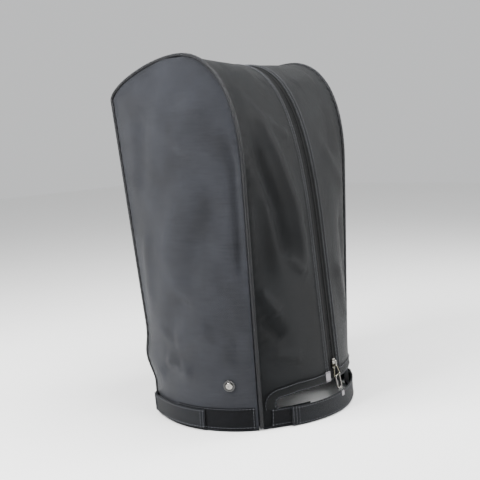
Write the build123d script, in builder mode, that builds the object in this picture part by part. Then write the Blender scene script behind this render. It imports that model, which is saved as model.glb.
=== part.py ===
from build123d import *
import os
from collections import namedtuple
from math import asin, atan2, cos, radians, sin, sqrt

# Rain hood for a golf bag: an open-bottomed fabric hood with an arched top. Two side panels are joined to a
# gusset band by piped seams, and a zip runs up the front of the band and over the crown. Hook-and-loop straps
# close the rim at the front and on both sides, and press studs fasten it to the bag.
# Millimetres. +Z is up, -Y is the front with the zip, the rim stands on z = 0, and x = 0 is the middle plane.

os.makedirs("parts", exist_ok=True)

# ---- The hood's shape ----
hood_height = 470.0  # crown of the piped seams
base_half_width = 109.0  # seam to the middle plane at the rim
crown_half_width = 129.0  # the same at the crown, so the seam planes lean outwards
seam_front_y = -83.6  # front seam at the rim
seam_front_shift = 0.7  # how far it has moved back at the front shoulder
seam_back_y = 87.0  # back seam at the rim
seam_back_shift = 37.6  # how far it leans back at the back shoulder
seam_crown_y = 4.9
front_shoulder = 145.0  # height of the rounded front shoulder, under the crown
back_shoulder = 49.0
front_bulge = 49.0  # the band stands out this far from the seams in the middle, at the rim
front_bulge_high = 27.3  # and this far at the top of the zip's straight stretch
back_bulge = 49.0
back_bulge_high = 6.2
crown_dip = 6.0  # the band sags this far between the seams at the crown
middle_crown_y = 8.5
middle_front_shoulder = 230.0
middle_back_shoulder = 59.0
side_bulge = 36.0  # crown of the side panel in plan, at the rim
side_bulge_high = 15.0  # the same at the top
side_dome_power = 6  # how late the side panel turns in to the crown
side_levels = (0, 0.12, 0.24, 0.36, 0.48, 0.6, 0.7, 0.79, 0.86, 0.91, 0.95, 0.975, 0.99)  # shares of the height

# ---- Fabric, piping and bindings ----
fabric_thickness = 1.6
layer_gap = 0.1  # between layers that are sewn together
piping_radius = 2.5
seam_binding_width = 8.0
seam_binding_thickness = 1.2
seam_clearance = 0.3  # between the piping and the panels beside it
binding_thickness = 0.6
hem_binding_height = 3.0

# ---- Zip ----
zip_window = 23.0  # between the two folded edges of fabric
zip_back_y = 80.0  # where the zip ends, behind the crown
tape_overlap = 4.5  # tape hidden under each fabric edge
tape_thickness = 0.8
zip_gap = 1.8  # between the two halves, for the slider's post
coil_width = 2.6
coil_thickness = 2.0
stop_length = 2.8
stop_overhang = 0.8  # the front stops stand proud of the coils, in the slider's way
stop_clearance = 1.0

# ---- Slider and pull ----
slider_height = 63.0  # middle of the slider above the rim
slider_length = 12.4
slider_width = 9.6
slider_tail_width = 7.4
slider_corner = 1.4
slider_plate = 1.2
slider_clearance = 0.3
post_length = 4.4
flange_width = 0.8
bridge_width = 2.6
bridge_wall = 1.0
bridge_height = 3.5  # above the slider's top plate
bridge_length = 9.2
link_wire_radius = 0.8
link_bar_width = 1.6
link_length = 14.2  # from pin to bar
link_top_width = 7.4
link_bottom_width = 15.6
loop_wire = 1.6
loop_width = 11.2
loop_length = 19.2  # from the link's bar to the loop's far end
loop_thickness = 1.7
loop_foot = 2.6
eye_wall = 0.8
pull_clearance = 0.3
pull_lean = 11.0  # degrees that the loose pull hangs aside

# ---- Slot for the bag's handle ----
slot_half_width = 92.5
slot_low = 25.0
slot_high = 50.0
slot_middle_high = 42.5  # the upper edge dips to the zip
slot_shoulder = 66.0
slot_shoulder_round = 14.0
slot_end_height = 37.0
slot_end_round = 7.0
facing_width = 13.0
facing_thickness = 0.8

# ---- Straps ----
strap_thickness = 1.5
patch_thickness = 1.0
patch_gap = 0.3
strap_height = 24.4
front_strap_low = 0.4
front_strap_end = -76.6
front_strap_hinge = 80.0
front_strap_root_length = 17.0
strap_hinge_gap = 0.3
front_landing_left = -50.0  # inner edge of the fabric that the strap's end closes on
front_landing_right = 78.0
front_patch_left = -98.0
front_patch_inset = 3.0
strap_hem_width = 6.0
side_strap_low = 3.4
side_strap_end = -21.4
side_strap_hinge = 74.0
side_strap_root_length = 9.0
side_patch_front = -78.0
side_patch_back = 22.0
side_patch_height = 26.5

# ---- Small tabs ----
label_width = 9.0
label_left = -22.0
label_low = 43.0
label_height = 13.0
tab_left = 5.0
tab_width = 6.0
tab_low = 17.7
tab_height = 6.3
tab_thickness = 0.6

# ---- Press studs ----
stud_y = -52.7
stud_height = 59.0
washer_radius = 7.5
washer_thickness = 1.0
cap_radius = 4.6
cap_height = 2.2
cap_dimple_radius = 1.1
cap_dimple_depth = 0.5
shank_radius = 1.8
stud_clearance = 0.3
socket_radius = 6.3
socket_height = 4.0
socket_bore_radius = 3.25
socket_bore_depth = 3.0

# ---- Values worked out from the sizes above ----
seam_tilt = atan2(crown_half_width - base_half_width, hood_height)
panel_inset = piping_radius + seam_clearance  # the panels stop this far from the piping's line
reach = 400.0  # longer than any cutting box needs to be
seam_trim_margin = 5.0  # the side panel's trimming solid starts this far inside the seam plane
trim_depth = 2 * (seam_trim_margin + side_bulge + crown_half_width - base_half_width)  # past the panel's crown
below = 4.0  # how far a path or trimming outline runs below the rim, before it is cut off there
zip_straight_top = hood_height - middle_front_shoulder
tape_face = fabric_thickness + layer_gap  # depths are measured inwards from the fabric's outer face
tape_depth = tape_face + tape_thickness
coil_face = tape_depth + layer_gap
coil_depth = coil_face + coil_thickness
facing_outer = -layer_gap - facing_thickness
patch_outer = -layer_gap - patch_thickness
hook_inner = patch_outer - patch_gap
hook_outer = hook_inner - patch_thickness
tape_edge = zip_window / 2 + tape_overlap
strap_inner = hook_outer - layer_gap
strap_outer = strap_inner - strap_thickness
front_strap_top = front_strap_low + strap_height
side_strap_top = side_strap_low + strap_height

# An arch is a straight front line, a curve from the front shoulder to the crown, a curve from the crown to the
# back shoulder and a straight back line. Each curve's handles are shares of the rise and of the run.
Arch = namedtuple(
    "Arch", "front_base front_top front_height crown_y crown_height back_top back_height back_base handles"
)


def straight(start, end, height, end_height):
    """Value at a height on the straight line from start at the rim to end at end_height."""
    return start + (end - start) * height / end_height


def seam_front(height):
    """Front seam's y at a height, as if its straight part ran on up."""
    return straight(seam_front_y, seam_front_y + seam_front_shift, height, hood_height - front_shoulder)


def seam_back(height):
    """Back seam's y at a height, as if its straight part ran on up."""
    return straight(seam_back_y, seam_back_y + seam_back_shift, height, hood_height - back_shoulder)


def seam_half_width(height):
    """Distance of the seam plane from the middle plane at a height."""
    return straight(base_half_width, crown_half_width, height, hood_height)


seam_arch = Arch(
    front_base=seam_front_y,
    front_top=seam_front(hood_height - front_shoulder),
    front_height=hood_height - front_shoulder,
    crown_y=seam_crown_y,
    crown_height=hood_height,
    back_top=seam_back(hood_height - back_shoulder),
    back_height=hood_height - back_shoulder,
    back_base=seam_back_y,
    handles=(0.63, 0.61, 0.41, 0.36),
)
middle_arch = Arch(
    front_base=seam_front_y - front_bulge,
    front_top=seam_front(zip_straight_top) - front_bulge_high,
    front_height=zip_straight_top,
    crown_y=middle_crown_y,
    crown_height=hood_height - crown_dip,
    back_top=seam_back(hood_height - middle_back_shoulder) + back_bulge_high,
    back_height=hood_height - middle_back_shoulder,
    back_base=seam_back_y + back_bulge,
    handles=(0.70, 0.60, 0.11, 0.75),
)


def seam_plane(side, offset):
    """Leaning plane of a piped seam, moved outwards by an offset; side is -1 for left and 1 for right."""
    return Plane(
        origin=(side * (base_half_width + offset), 0, 0),
        x_dir=(0, 1, 0),
        z_dir=(cos(seam_tilt), 0, -side * sin(seam_tilt)),
    )


def pairs(*points):
    """Points as plain pairs, which a line is drawn from on whatever plane is in use."""
    return [(point.X, point.Y) for point in points]


def arch_line(arch, inset, foot=0.0):
    """Draws an arch inset from its line, down to a foot height, and returns its two ends."""
    front_rise, front_run, back_run, back_rise = arch.handles
    front_top = Vector(arch.front_top + inset, arch.front_height)
    crown = Vector(arch.crown_y, arch.crown_height - inset)
    back_top = Vector(arch.back_top - inset, arch.back_height)
    front_base = Vector(arch.front_base + inset, 0)
    back_base = Vector(arch.back_base - inset, 0)
    front_up = (front_top - front_base).normalized()
    back_up = (back_top - back_base).normalized()
    front_curve = (
        front_top,
        front_top + front_up * front_rise * (crown.Y - front_top.Y),
        crown - Vector(front_run * (crown.X - front_top.X), 0),
        crown,
    )
    back_curve = (
        crown,
        crown + Vector(back_run * (back_top.X - crown.X), 0),
        back_top + back_up * back_rise * (crown.Y - back_top.Y),
        back_top,
    )
    front = Line(*pairs(front_base + front_up * foot, front_top))
    Bezier(*pairs(*front_curve))
    Bezier(*pairs(*back_curve))
    back = Line(*pairs(back_top, back_base + back_up * foot))
    return front @ 0, back @ 1


def arch_band(arch, plane, outer, inner):
    """Sketch of the band between two insets of an arch, open at its foot a little below the rim."""
    with BuildSketch(plane) as band:
        with BuildLine():
            outer_front, outer_back = arch_line(arch, outer, -below)
            inner_front, inner_back = arch_line(arch, inner, -below)
            Line(outer_front, inner_front)
            Line(outer_back, inner_back)
        make_face()
    return band.sketch


def arch_region(arch, plane, inset):
    """Sketch of the whole space under an arch, down to a little below the rim."""
    with BuildSketch(plane) as region:
        with BuildLine():
            front, back = arch_line(arch, inset, -below)
            Line(front, back)
        make_face()
    return region.sketch


def gusset_shell(outer, inner):
    """Solid between two depths of the gusset band, from seam to seam. It bulges in the middle."""
    sections = [
        arch_band(seam_arch, seam_plane(-1, -panel_inset), outer, inner),
        arch_band(middle_arch, Plane.YZ, outer, inner),
        arch_band(seam_arch, seam_plane(1, -panel_inset), outer, inner),
    ]
    with BuildPart() as shell:
        loft(sections)
    return shell.part


def arch_span(arch, height):
    """Front and back y of an arch line at a height."""
    with BuildLine(mode=Mode.PRIVATE) as line:
        arch_line(arch, 0, -below)
    level = Edge.make_line((-reach, height), (reach, height))
    crossings = [point.X for edge in line.edges() for point in edge.find_intersection_points(level)]
    return min(crossings), max(crossings)


def side_circle(height):
    """Centre (distance from the middle plane, y), radius and half angle of the side panel's arc at a height."""
    front, back = arch_span(seam_arch, height)
    half_chord = (back - front) / 2
    dome = sqrt(1 - (height / hood_height) ** side_dome_power)
    sagitta = straight(side_bulge, side_bulge_high, height, hood_height) * dome
    radius = (half_chord**2 + sagitta**2) / (2 * sagitta)
    centre = seam_half_width(height) + sagitta - radius
    return centre, (back + front) / 2, radius, asin(half_chord / radius)


def side_point(height, y, depth=0.0):
    """Point on the left side panel at a height and y, and the angle of its outward normal from -X."""
    centre, middle_y, radius, _ = side_circle(height)
    angle = asin((y - middle_y) / radius)
    return Vector(-centre - (radius - depth) * cos(angle), middle_y + (radius - depth) * sin(angle), height), angle


def side_section(height, outer, inner):
    """Sketch of the left side panel's arc band between two depths at a height."""
    centre, middle_y, radius, half_angle = side_circle(height)
    arcs = []
    with BuildSketch(Plane.XY.offset(height)) as section:
        with BuildLine():
            for depth in (outer, inner):
                points = [
                    (-centre - (radius - depth) * cos(turn), middle_y + (radius - depth) * sin(turn))
                    for turn in (-half_angle, 0, half_angle)
                ]
                arcs.append(ThreePointArc(*points))
            Line(arcs[0] @ 0, arcs[1] @ 0)
            Line(arcs[0] @ 1, arcs[1] @ 1)
        make_face()
    return section.sketch


def side_shell(outer, inner):
    """Solid between two depths of the left side panel, trimmed to the piped seam."""
    sections = [side_section(level * hood_height, outer, inner) for level in side_levels]
    trim = arch_region(seam_arch, seam_plane(-1, -seam_trim_margin), panel_inset)
    with BuildPart() as shell:
        loft(sections)
        extrude(trim, amount=-trim_depth, mode=Mode.INTERSECT)
    return shell.part


def box_between(x_range, y_range, z_range, mode):
    """Box between the given limits, put into the part being built."""
    limits = (x_range, y_range, z_range)
    centre = [(low + high) / 2 for low, high in limits]
    with Locations(tuple(centre)):
        Box(*[high - low for low, high in limits], mode=mode)


def keep(x_range=(-reach, reach), y_range=(-reach, reach), z_range=(-reach, 2 * reach)):
    """Keeps only what lies between the given limits."""
    box_between(x_range, y_range, z_range, Mode.INTERSECT)


def cut(x_range=(-reach, reach), y_range=(-reach, reach), z_range=(-reach, 2 * reach)):
    """Removes what lies between the given limits."""
    box_between(x_range, y_range, z_range, Mode.SUBTRACT)


def slot_shape(grow=0.0):
    """Sketch of the handle slot's outline on the front plane, grown by an amount."""
    with BuildSketch(Plane.XZ) as slot:
        with BuildLine():
            right = Polyline(
                (0, slot_middle_high),
                (slot_shoulder, slot_high),
                (slot_half_width, slot_end_height),
                (slot_half_width, slot_low),
                (0, slot_low),
            )
            mirror(right, about=Plane.YZ)
        make_face()
        fillet([v for v in vertices() if abs(v.X) > 1 and v.Y > slot_end_height + 1], slot_shoulder_round)
        fillet([v for v in vertices() if abs(abs(v.X) - slot_half_width) < 0.01 and v.Y > slot_low + 1], slot_end_round)
        fillet([v for v in vertices() if abs(abs(v.X) - slot_half_width) < 0.01 and v.Y < slot_low + 1], slot_end_round)
        if grow > 0:
            offset(amount=grow)
    return slot.sketch


def cut_front_opening():
    """Cuts the handle slot, and the gap under it that only the front strap crosses."""
    extrude(slot_shape(), amount=reach, mode=Mode.SUBTRACT)
    cut((front_landing_left, front_landing_right), (-reach, 0), (-below, slot_low + 1))


def finish(part, name):
    """Labels a finished piece and writes its STEP file."""
    part.label = name
    export_step(part, f"parts/{name}.step")


def finish_pair(left, name):
    """Writes a left-hand sub-part and its mirrored right-hand twin."""
    with BuildPart() as right:
        mirror(left.part, about=Plane.YZ)
    finish(left.part, f"{name}_left")
    finish(right.part, f"{name}_right")


# ---- Side panels ----
side_fabric = side_shell(0, fabric_thickness)
stud_point, stud_angle = side_point(stud_height, stud_y)
stud_normal = Vector(-cos(stud_angle), sin(stud_angle), 0)
stud_plane = Plane(origin=stud_point, x_dir=(0, 0, 1), z_dir=stud_normal)

with BuildPart() as side_panel:
    add(side_fabric)
    keep(z_range=(binding_thickness, 2 * reach))
    with BuildSketch(stud_plane.offset(washer_radius)):
        Circle(shank_radius + stud_clearance)
    extrude(amount=-2 * washer_radius, mode=Mode.SUBTRACT)
finish_pair(side_panel, "side_panel")

# ---- Gusset band: two front halves beside the zip, and the back ----
gusset_fabric = gusset_shell(0, fabric_thickness)
beside_zip = {"left": (-reach, -zip_window / 2), "right": (zip_window / 2, reach)}
front_halves = {}

for side, x_range in beside_zip.items():
    with BuildPart() as gusset_front:
        add(gusset_fabric)
        keep(x_range, (-reach, zip_back_y), (binding_thickness, 2 * reach))
        cut(y_range=(0, reach), z_range=(0, hood_height / 2))
        cut_front_opening()
    front_halves[side] = gusset_front.part
    finish(gusset_front.part, f"gusset_front_{side}")

with BuildPart() as gusset_back:
    add(gusset_fabric)
    keep(y_range=(zip_back_y, reach), z_range=(binding_thickness, 2 * reach))
finish(gusset_back.part, "gusset_back")

# ---- Piping and the binding over the seam allowances ----
with BuildPart() as piping:
    with BuildLine(seam_plane(-1, 0)) as piping_path:
        arch_line(seam_arch, 0, -below)
    with BuildSketch(Plane(origin=piping_path.line @ 0, z_dir=piping_path.line % 0)):
        Circle(piping_radius)
    sweep()
    split(bisect_by=Plane.XY, keep=Keep.TOP)
finish_pair(piping, "piping")

with BuildPart() as seam_binding:
    allowance = fabric_thickness + 2 * seam_clearance
    extrude(
        arch_band(seam_arch, seam_plane(-1, -panel_inset), allowance, allowance + seam_binding_width),
        amount=seam_binding_thickness,
    )
    keep(z_range=(hem_binding_height, 2 * reach))
finish_pair(seam_binding, "seam_binding")

# ---- Hem bindings: a folded strip over the rim's edge ----
side_hem_shell = side_shell(-binding_thickness, fabric_thickness + binding_thickness)
gusset_hem_shell = gusset_shell(-binding_thickness, fabric_thickness + binding_thickness)


def hem_strip(shell, panel_part):
    """Strip of a hem shell over the rim, with the panel's edge let into it."""
    add(shell)
    keep(z_range=(0, hem_binding_height))
    add(panel_part, mode=Mode.SUBTRACT)


with BuildPart() as hem_binding:
    hem_strip(side_hem_shell, side_panel.part)
finish_pair(hem_binding, "hem_binding")

with BuildPart() as hem_binding_back:
    hem_strip(gusset_hem_shell, gusset_back.part)
    keep(y_range=(0, reach))
finish(hem_binding_back.part, "hem_binding_back")

for side, x_range in {"left": (-reach, front_landing_left), "right": (front_landing_right, reach)}.items():
    with BuildPart() as hem_binding_front:
        hem_strip(gusset_hem_shell, front_halves[side])
        keep(x_range, (-reach, 0))
    finish(hem_binding_front.part, f"hem_binding_front_{side}")

# ---- Zip: tapes under the folded fabric edges, coils on their inner face, stops at both ends ----
stop_low = slider_height - slider_length / 2 - stop_clearance - stop_length

with BuildPart() as zip_tape:
    add(gusset_shell(tape_face, tape_depth))
    keep((-tape_edge, -zip_gap / 2), (-reach, zip_back_y + tape_overlap), (0, 2 * reach))
    cut(y_range=(0, reach), z_range=(0, hood_height / 2))
    cut_front_opening()
finish_pair(zip_tape, "zip_tape")

with BuildPart() as zip_coil:
    add(gusset_shell(coil_face, coil_depth))
    keep((-zip_gap / 2 - coil_width, -zip_gap / 2), (-reach, zip_back_y), (stop_low + stop_length, 2 * reach))
    cut(y_range=(0, reach), z_range=(0, hood_height / 2))
finish_pair(zip_coil, "zip_coil")

with BuildPart() as zip_front_stop:
    add(gusset_shell(coil_face, coil_depth + stop_overhang))
    keep((-zip_gap / 2 - coil_width, -zip_gap / 2), (-reach, 0), (stop_low, stop_low + stop_length))
with BuildPart() as zip_front_stops:
    add(zip_front_stop.part)
    mirror(zip_front_stop.part, about=Plane.YZ)
finish(zip_front_stops.part, "zip_front_stops")

with BuildPart() as zip_back_stop:
    add(gusset_shell(coil_face, coil_depth + stop_overhang))
    keep((-coil_width - zip_gap / 2, coil_width + zip_gap / 2), (zip_back_y, zip_back_y + stop_length))
    cut(z_range=(-reach, hood_height / 2))
finish(zip_back_stop.part, "zip_back_stop")

# ---- Slider: two plates joined by a post between the zip's halves, with a bridge for the pull ----
zip_tilt = atan2(middle_arch.front_top - middle_arch.front_base, zip_straight_top)
zip_plane = Plane(
    origin=(0, straight(middle_arch.front_base, middle_arch.front_top, slider_height, zip_straight_top), slider_height),
    x_dir=(1, 0, 0),
    z_dir=(0, -cos(zip_tilt), sin(zip_tilt)),
)
top_plate_under = -(tape_face - slider_clearance)
top_plate_face = top_plate_under + slider_plate
bottom_plate_face = -(coil_depth + slider_clearance)
shoulder_length = slider_length * 0.4


def slider_outline(height):
    """Sketch of a slider plate at a height above the fabric: broad at the front, narrower at the tail."""
    half = slider_length / 2
    with BuildSketch(zip_plane.offset(height)) as outline:
        Polygon(
            (-slider_width / 2, -half),
            (slider_width / 2, -half),
            (slider_width / 2, -half + shoulder_length),
            (slider_tail_width / 2, half),
            (-slider_tail_width / 2, half),
            (-slider_width / 2, -half + shoulder_length),
            align=None,
        )
        fillet(vertices(), slider_corner)
    return outline.sketch


with BuildPart() as slider_body:
    extrude(slider_outline(top_plate_under), amount=slider_plate)
    extrude(slider_outline(bottom_plate_face), amount=-slider_plate)
    with BuildSketch(zip_plane.offset(bottom_plate_face)):
        with Locations((0, -slider_length / 2 + slider_corner / 2 + post_length / 2)):
            Rectangle(zip_gap - 2 * slider_clearance, post_length)
    extrude(amount=top_plate_under - bottom_plate_face)
    with BuildSketch(zip_plane.offset(bottom_plate_face)):
        with Locations((0, -slider_length / 2 + slider_corner + (shoulder_length - slider_corner) / 2)):
            with GridLocations(slider_width - flange_width, 0, 2, 1):
                Rectangle(flange_width, shoulder_length - slider_corner)
    extrude(amount=-tape_depth - slider_clearance - bottom_plate_face)
finish(slider_body.part, "slider_body")

pin_height = top_plate_face + (bridge_height - bridge_wall) / 2
pin_drop = bridge_length / 2 - bridge_wall - link_wire_radius - slider_clearance
bridge_plane = Plane(origin=zip_plane.origin, x_dir=zip_plane.y_dir, z_dir=zip_plane.x_dir)

with BuildPart() as slider_bridge:
    with BuildSketch(bridge_plane):
        with Locations((0, top_plate_face)):
            Rectangle(bridge_length, bridge_height, align=(Align.CENTER, Align.MIN))
        fillet(vertices().group_by(Axis.Y)[-1], 2 * bridge_wall)
        with Locations((0, top_plate_face)):
            Rectangle(
                bridge_length - 2 * bridge_wall,
                bridge_height - bridge_wall,
                align=(Align.CENTER, Align.MIN),
                mode=Mode.SUBTRACT,
            )
    extrude(amount=bridge_width / 2, both=True)
finish(slider_bridge.part, "slider_bridge")

# ---- Pull: a wire link through the bridge, and a loop whose eyes turn on the link's lower bar ----
lean = radians(pull_lean)
pull_plane = Plane(
    origin=zip_plane.from_local_coords(Vector(0, -pin_drop, pin_height)),
    x_dir=zip_plane.x_dir * cos(lean) + zip_plane.y_dir * sin(lean),
    z_dir=zip_plane.z_dir,
)

with BuildPart() as pull_link:
    link_top = link_top_width / 2 - link_wire_radius
    link_bottom = link_bottom_width / 2 - link_wire_radius
    with BuildLine(pull_plane) as link_path:
        FilletPolyline(
            (link_top, 0),
            (link_bottom, -link_length),
            (-link_bottom, -link_length),
            (-link_top, 0),
            close=True,
            radius=1.25 * link_wire_radius,
        )
    with BuildSketch(Plane(origin=link_path.line @ 0, z_dir=link_path.line % 0)):
        Circle(link_wire_radius)
    sweep()
finish(pull_link.part, "pull_link")

loop_origin = pull_plane.from_local_coords(Vector(0, -link_length, 0))
loop_plane = Plane(origin=loop_origin, x_dir=pull_plane.x_dir, z_dir=pull_plane.z_dir)
eye_plane = Plane(origin=loop_origin, x_dir=pull_plane.y_dir, z_dir=pull_plane.x_dir)
eye_bore = link_wire_radius + pull_clearance

with BuildPart() as pull_loop:
    with BuildSketch(loop_plane):
        Rectangle(loop_width, loop_length, align=(Align.CENTER, Align.MAX))
        fillet(vertices().group_by(Axis.Y)[0], loop_width * 0.45)
        Rectangle(
            loop_width - 2 * loop_wire,
            loop_length - loop_foot,
            align=(Align.CENTER, Align.MAX),
            mode=Mode.SUBTRACT,
        )
    extrude(amount=loop_thickness / 2, both=True)
    for side in (-1, 1):
        with BuildSketch(eye_plane.offset(side * (loop_width - loop_wire) / 2)):
            Circle(eye_bore + eye_wall)
        extrude(amount=loop_wire / 2, both=True)
    with BuildSketch(eye_plane):
        Circle(eye_bore)
    extrude(amount=loop_width, both=True, mode=Mode.SUBTRACT)
finish(pull_loop.part, "pull_loop")

# ---- Facing sewn round the slot's upper edge, and the label beside the slider ----
facing_shell = gusset_shell(facing_outer, -layer_gap)

for side, x_range in beside_zip.items():
    with BuildPart() as slot_facing:
        add(facing_shell)
        extrude(slot_shape(facing_width), amount=reach, mode=Mode.INTERSECT)
        extrude(slot_shape(), amount=reach, mode=Mode.SUBTRACT)
        keep(x_range, (-reach, 0), (slot_low, reach))
    finish(slot_facing.part, f"slot_facing_{side}")

with BuildPart() as label:
    add(gusset_shell(facing_outer - layer_gap - tab_thickness, facing_outer - layer_gap))
    keep((label_left, label_left + label_width), (-reach, 0), (label_low, label_low + label_height))
finish(label.part, "woven_label")

# ---- Front strap, closed on a loop patch at its left end and sewn on at its right end ----
front_strap_shell = gusset_shell(strap_outer, strap_inner)
front_strap_heights = (front_strap_low, front_strap_top)

with BuildPart() as front_strap:
    add(front_strap_shell)
    keep((front_strap_end, front_strap_hinge - strap_hinge_gap), (-reach, 0), front_strap_heights)
finish(front_strap.part, "front_strap")

with BuildPart() as front_strap_hem:
    add(gusset_shell(strap_outer - binding_thickness, strap_inner + binding_thickness))
    keep((front_strap_end - binding_thickness, front_strap_end + strap_hem_width), (-reach, 0), front_strap_heights)
    add(front_strap.part, mode=Mode.SUBTRACT)
finish(front_strap_hem.part, "front_strap_hem")

with BuildPart() as front_strap_hook:
    add(gusset_shell(hook_outer, hook_inner))
    keep(
        (front_strap_end + strap_hem_width + patch_gap, front_landing_left - front_patch_inset),
        (-reach, 0),
        (hem_binding_height + patch_gap, front_strap_top - front_patch_inset),
    )
finish(front_strap_hook.part, "front_strap_hook")

with BuildPart() as front_loop_patch:
    add(gusset_shell(patch_outer, -layer_gap))
    keep(
        (front_patch_left, front_landing_left - front_patch_inset),
        (-reach, 0),
        (hem_binding_height + patch_gap, slot_low - patch_gap),
    )
finish(front_loop_patch.part, "front_loop_patch")

with BuildPart() as front_strap_root:
    add(gusset_shell(strap_outer, -binding_thickness - layer_gap))
    keep(
        (front_strap_hinge, front_strap_hinge + front_strap_root_length),
        (-reach, 0),
        front_strap_heights,
    )
finish(front_strap_root.part, "front_strap_root")

with BuildPart() as strap_tab:
    add(gusset_shell(strap_outer - layer_gap - tab_thickness, strap_outer - layer_gap))
    keep((tab_left, tab_left + tab_width), (-reach, 0), (tab_low, tab_low + tab_height))
finish(strap_tab.part, "strap_tab")

# ---- Side straps, sewn in at the back seam and closed on a long loop patch ----
side_strap_heights = (side_strap_low, side_strap_top)
hinge_point, hinge_angle = side_point((side_strap_low + side_strap_top) / 2, side_strap_hinge)
hinge_plane = Plane(origin=hinge_point, x_dir=(0, 0, 1), z_dir=(sin(hinge_angle), cos(hinge_angle), 0))

with BuildPart() as side_strap:
    add(side_shell(strap_outer, strap_inner))
    keep(y_range=(side_strap_end, reach), z_range=side_strap_heights)
    split(bisect_by=hinge_plane.offset(-strap_hinge_gap), keep=Keep.BOTTOM)
finish_pair(side_strap, "side_strap")

with BuildPart() as side_strap_hook:
    add(side_shell(hook_outer, hook_inner))
    keep(
        y_range=(side_strap_end + front_patch_inset, side_patch_back - front_patch_inset),
        z_range=(side_strap_low + front_patch_inset, side_strap_top - front_patch_inset),
    )
finish_pair(side_strap_hook, "side_strap_hook")

with BuildPart() as side_loop_patch:
    add(side_shell(patch_outer, -layer_gap))
    keep(y_range=(side_patch_front, side_patch_back), z_range=(side_strap_low, side_strap_low + side_patch_height))
finish_pair(side_loop_patch, "side_loop_patch")

with BuildPart() as side_strap_root:
    add(side_shell(strap_outer, -layer_gap))
    keep(y_range=(0, side_strap_hinge + side_strap_root_length), z_range=side_strap_heights)
    split(bisect_by=hinge_plane, keep=Keep.TOP)
finish_pair(side_strap_root, "side_strap_root")

# ---- Press studs: washer and cap outside, socket inside ----
with BuildPart() as washer:
    with BuildSketch(stud_plane.offset(stud_clearance)):
        Circle(washer_radius)
        Circle(cap_radius + stud_clearance, mode=Mode.SUBTRACT)
    extrude(amount=washer_thickness)
    fillet(washer.faces().sort_by(Axis(stud_point, stud_normal))[-1].edges(), washer_thickness * 0.4)

with BuildPart() as cap:
    with BuildSketch(stud_plane.offset(stud_clearance)):
        Circle(cap_radius)
    extrude(amount=cap_height)
    top = cap.faces().sort_by(Axis(stud_point, stud_normal))[-1]
    fillet(top.edges(), cap_height * 0.6)
    with BuildSketch(stud_plane.offset(stud_clearance + cap_height)):
        Circle(cap_dimple_radius)
    extrude(amount=-cap_dimple_depth, mode=Mode.SUBTRACT)
    with BuildSketch(stud_plane.offset(stud_clearance)):
        Circle(shank_radius)
    extrude(amount=-(fabric_thickness + 2 * stud_clearance))

with BuildPart() as socket:
    with BuildSketch(stud_plane.offset(-fabric_thickness - stud_clearance)):
        Circle(socket_radius)
    extrude(amount=-socket_height)
    with BuildSketch(stud_plane.offset(-fabric_thickness - stud_clearance - socket_height)):
        Circle(socket_bore_radius)
    extrude(amount=socket_bore_depth, mode=Mode.SUBTRACT)

for builder, name in ((washer, "stud_washers"), (cap, "stud_caps"), (socket, "stud_sockets")):
    with BuildPart() as both_sides:
        add(builder.part)
        mirror(builder.part, about=Plane.YZ)
    finish(both_sides.part, name)
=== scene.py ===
"""Looks of the golf bag rain hood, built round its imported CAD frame.

Every soft piece is a surface worked out with numpy from the hood's arches, in metres and in the frame of the
CAD model. Front is -Y, left is -X and the hood stands on z = 0.
"""

import logging
import math
from dataclasses import dataclass
from enum import Enum
from typing import Sequence

import bmesh
import bpy
import numpy as np
from mathutils import Matrix, Vector


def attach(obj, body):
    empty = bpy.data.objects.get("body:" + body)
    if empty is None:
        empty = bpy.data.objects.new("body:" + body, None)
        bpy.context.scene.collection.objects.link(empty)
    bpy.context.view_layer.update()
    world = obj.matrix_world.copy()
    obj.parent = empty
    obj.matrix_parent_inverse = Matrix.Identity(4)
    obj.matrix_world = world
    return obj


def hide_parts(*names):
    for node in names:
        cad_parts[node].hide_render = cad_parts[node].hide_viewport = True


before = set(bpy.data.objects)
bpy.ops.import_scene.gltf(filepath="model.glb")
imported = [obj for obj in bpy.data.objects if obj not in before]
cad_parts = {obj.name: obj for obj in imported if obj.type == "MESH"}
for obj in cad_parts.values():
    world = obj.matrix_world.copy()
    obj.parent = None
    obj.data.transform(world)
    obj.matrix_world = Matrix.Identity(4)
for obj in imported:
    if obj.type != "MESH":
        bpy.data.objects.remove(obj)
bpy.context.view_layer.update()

log = logging.getLogger("rain_hood")

MM = 0.001
HOOD_HEIGHT = 470 * MM
FABRIC = 1.6 * MM
SKIN = 0.9 * MM  # drawn thickness of one fabric layer
HEM_HEIGHT = 3 * MM
ZIP_WINDOW = 23 * MM  # between the two folded fabric edges beside the zip
FOLD_EDGE = {-1: 11.5 * MM, 1: 7.4 * MM}  # folded edges from the zip's middle; the right one overlaps more
STITCH_ROWS = (2.6 * MM, 7.0 * MM)  # rows of topstitching, from the folded edge
STITCH_START = 57 * MM  # where those rows begin above the rim
ZIP_BACK_Y = 80 * MM
PANEL_INSET = 2.8 * MM  # from the piping's line to the panels' edges
PIPING_RADIUS = 2.5 * MM
SIDE_WORD = {-1: "left", 1: "right"}


# ---------------------------------------------------------------------------------------------------------
# Arches and surfaces
# ---------------------------------------------------------------------------------------------------------


def smooth(edge_low: float, edge_high: float, value: np.ndarray) -> np.ndarray:
    """Cubic ease 3s^2 - 2s^3 of the value's share s of the way between two edges."""
    share = np.clip((value - edge_low) / (edge_high - edge_low), 0.0, 1.0)
    return share * share * (3.0 - 2.0 * share)


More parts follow.
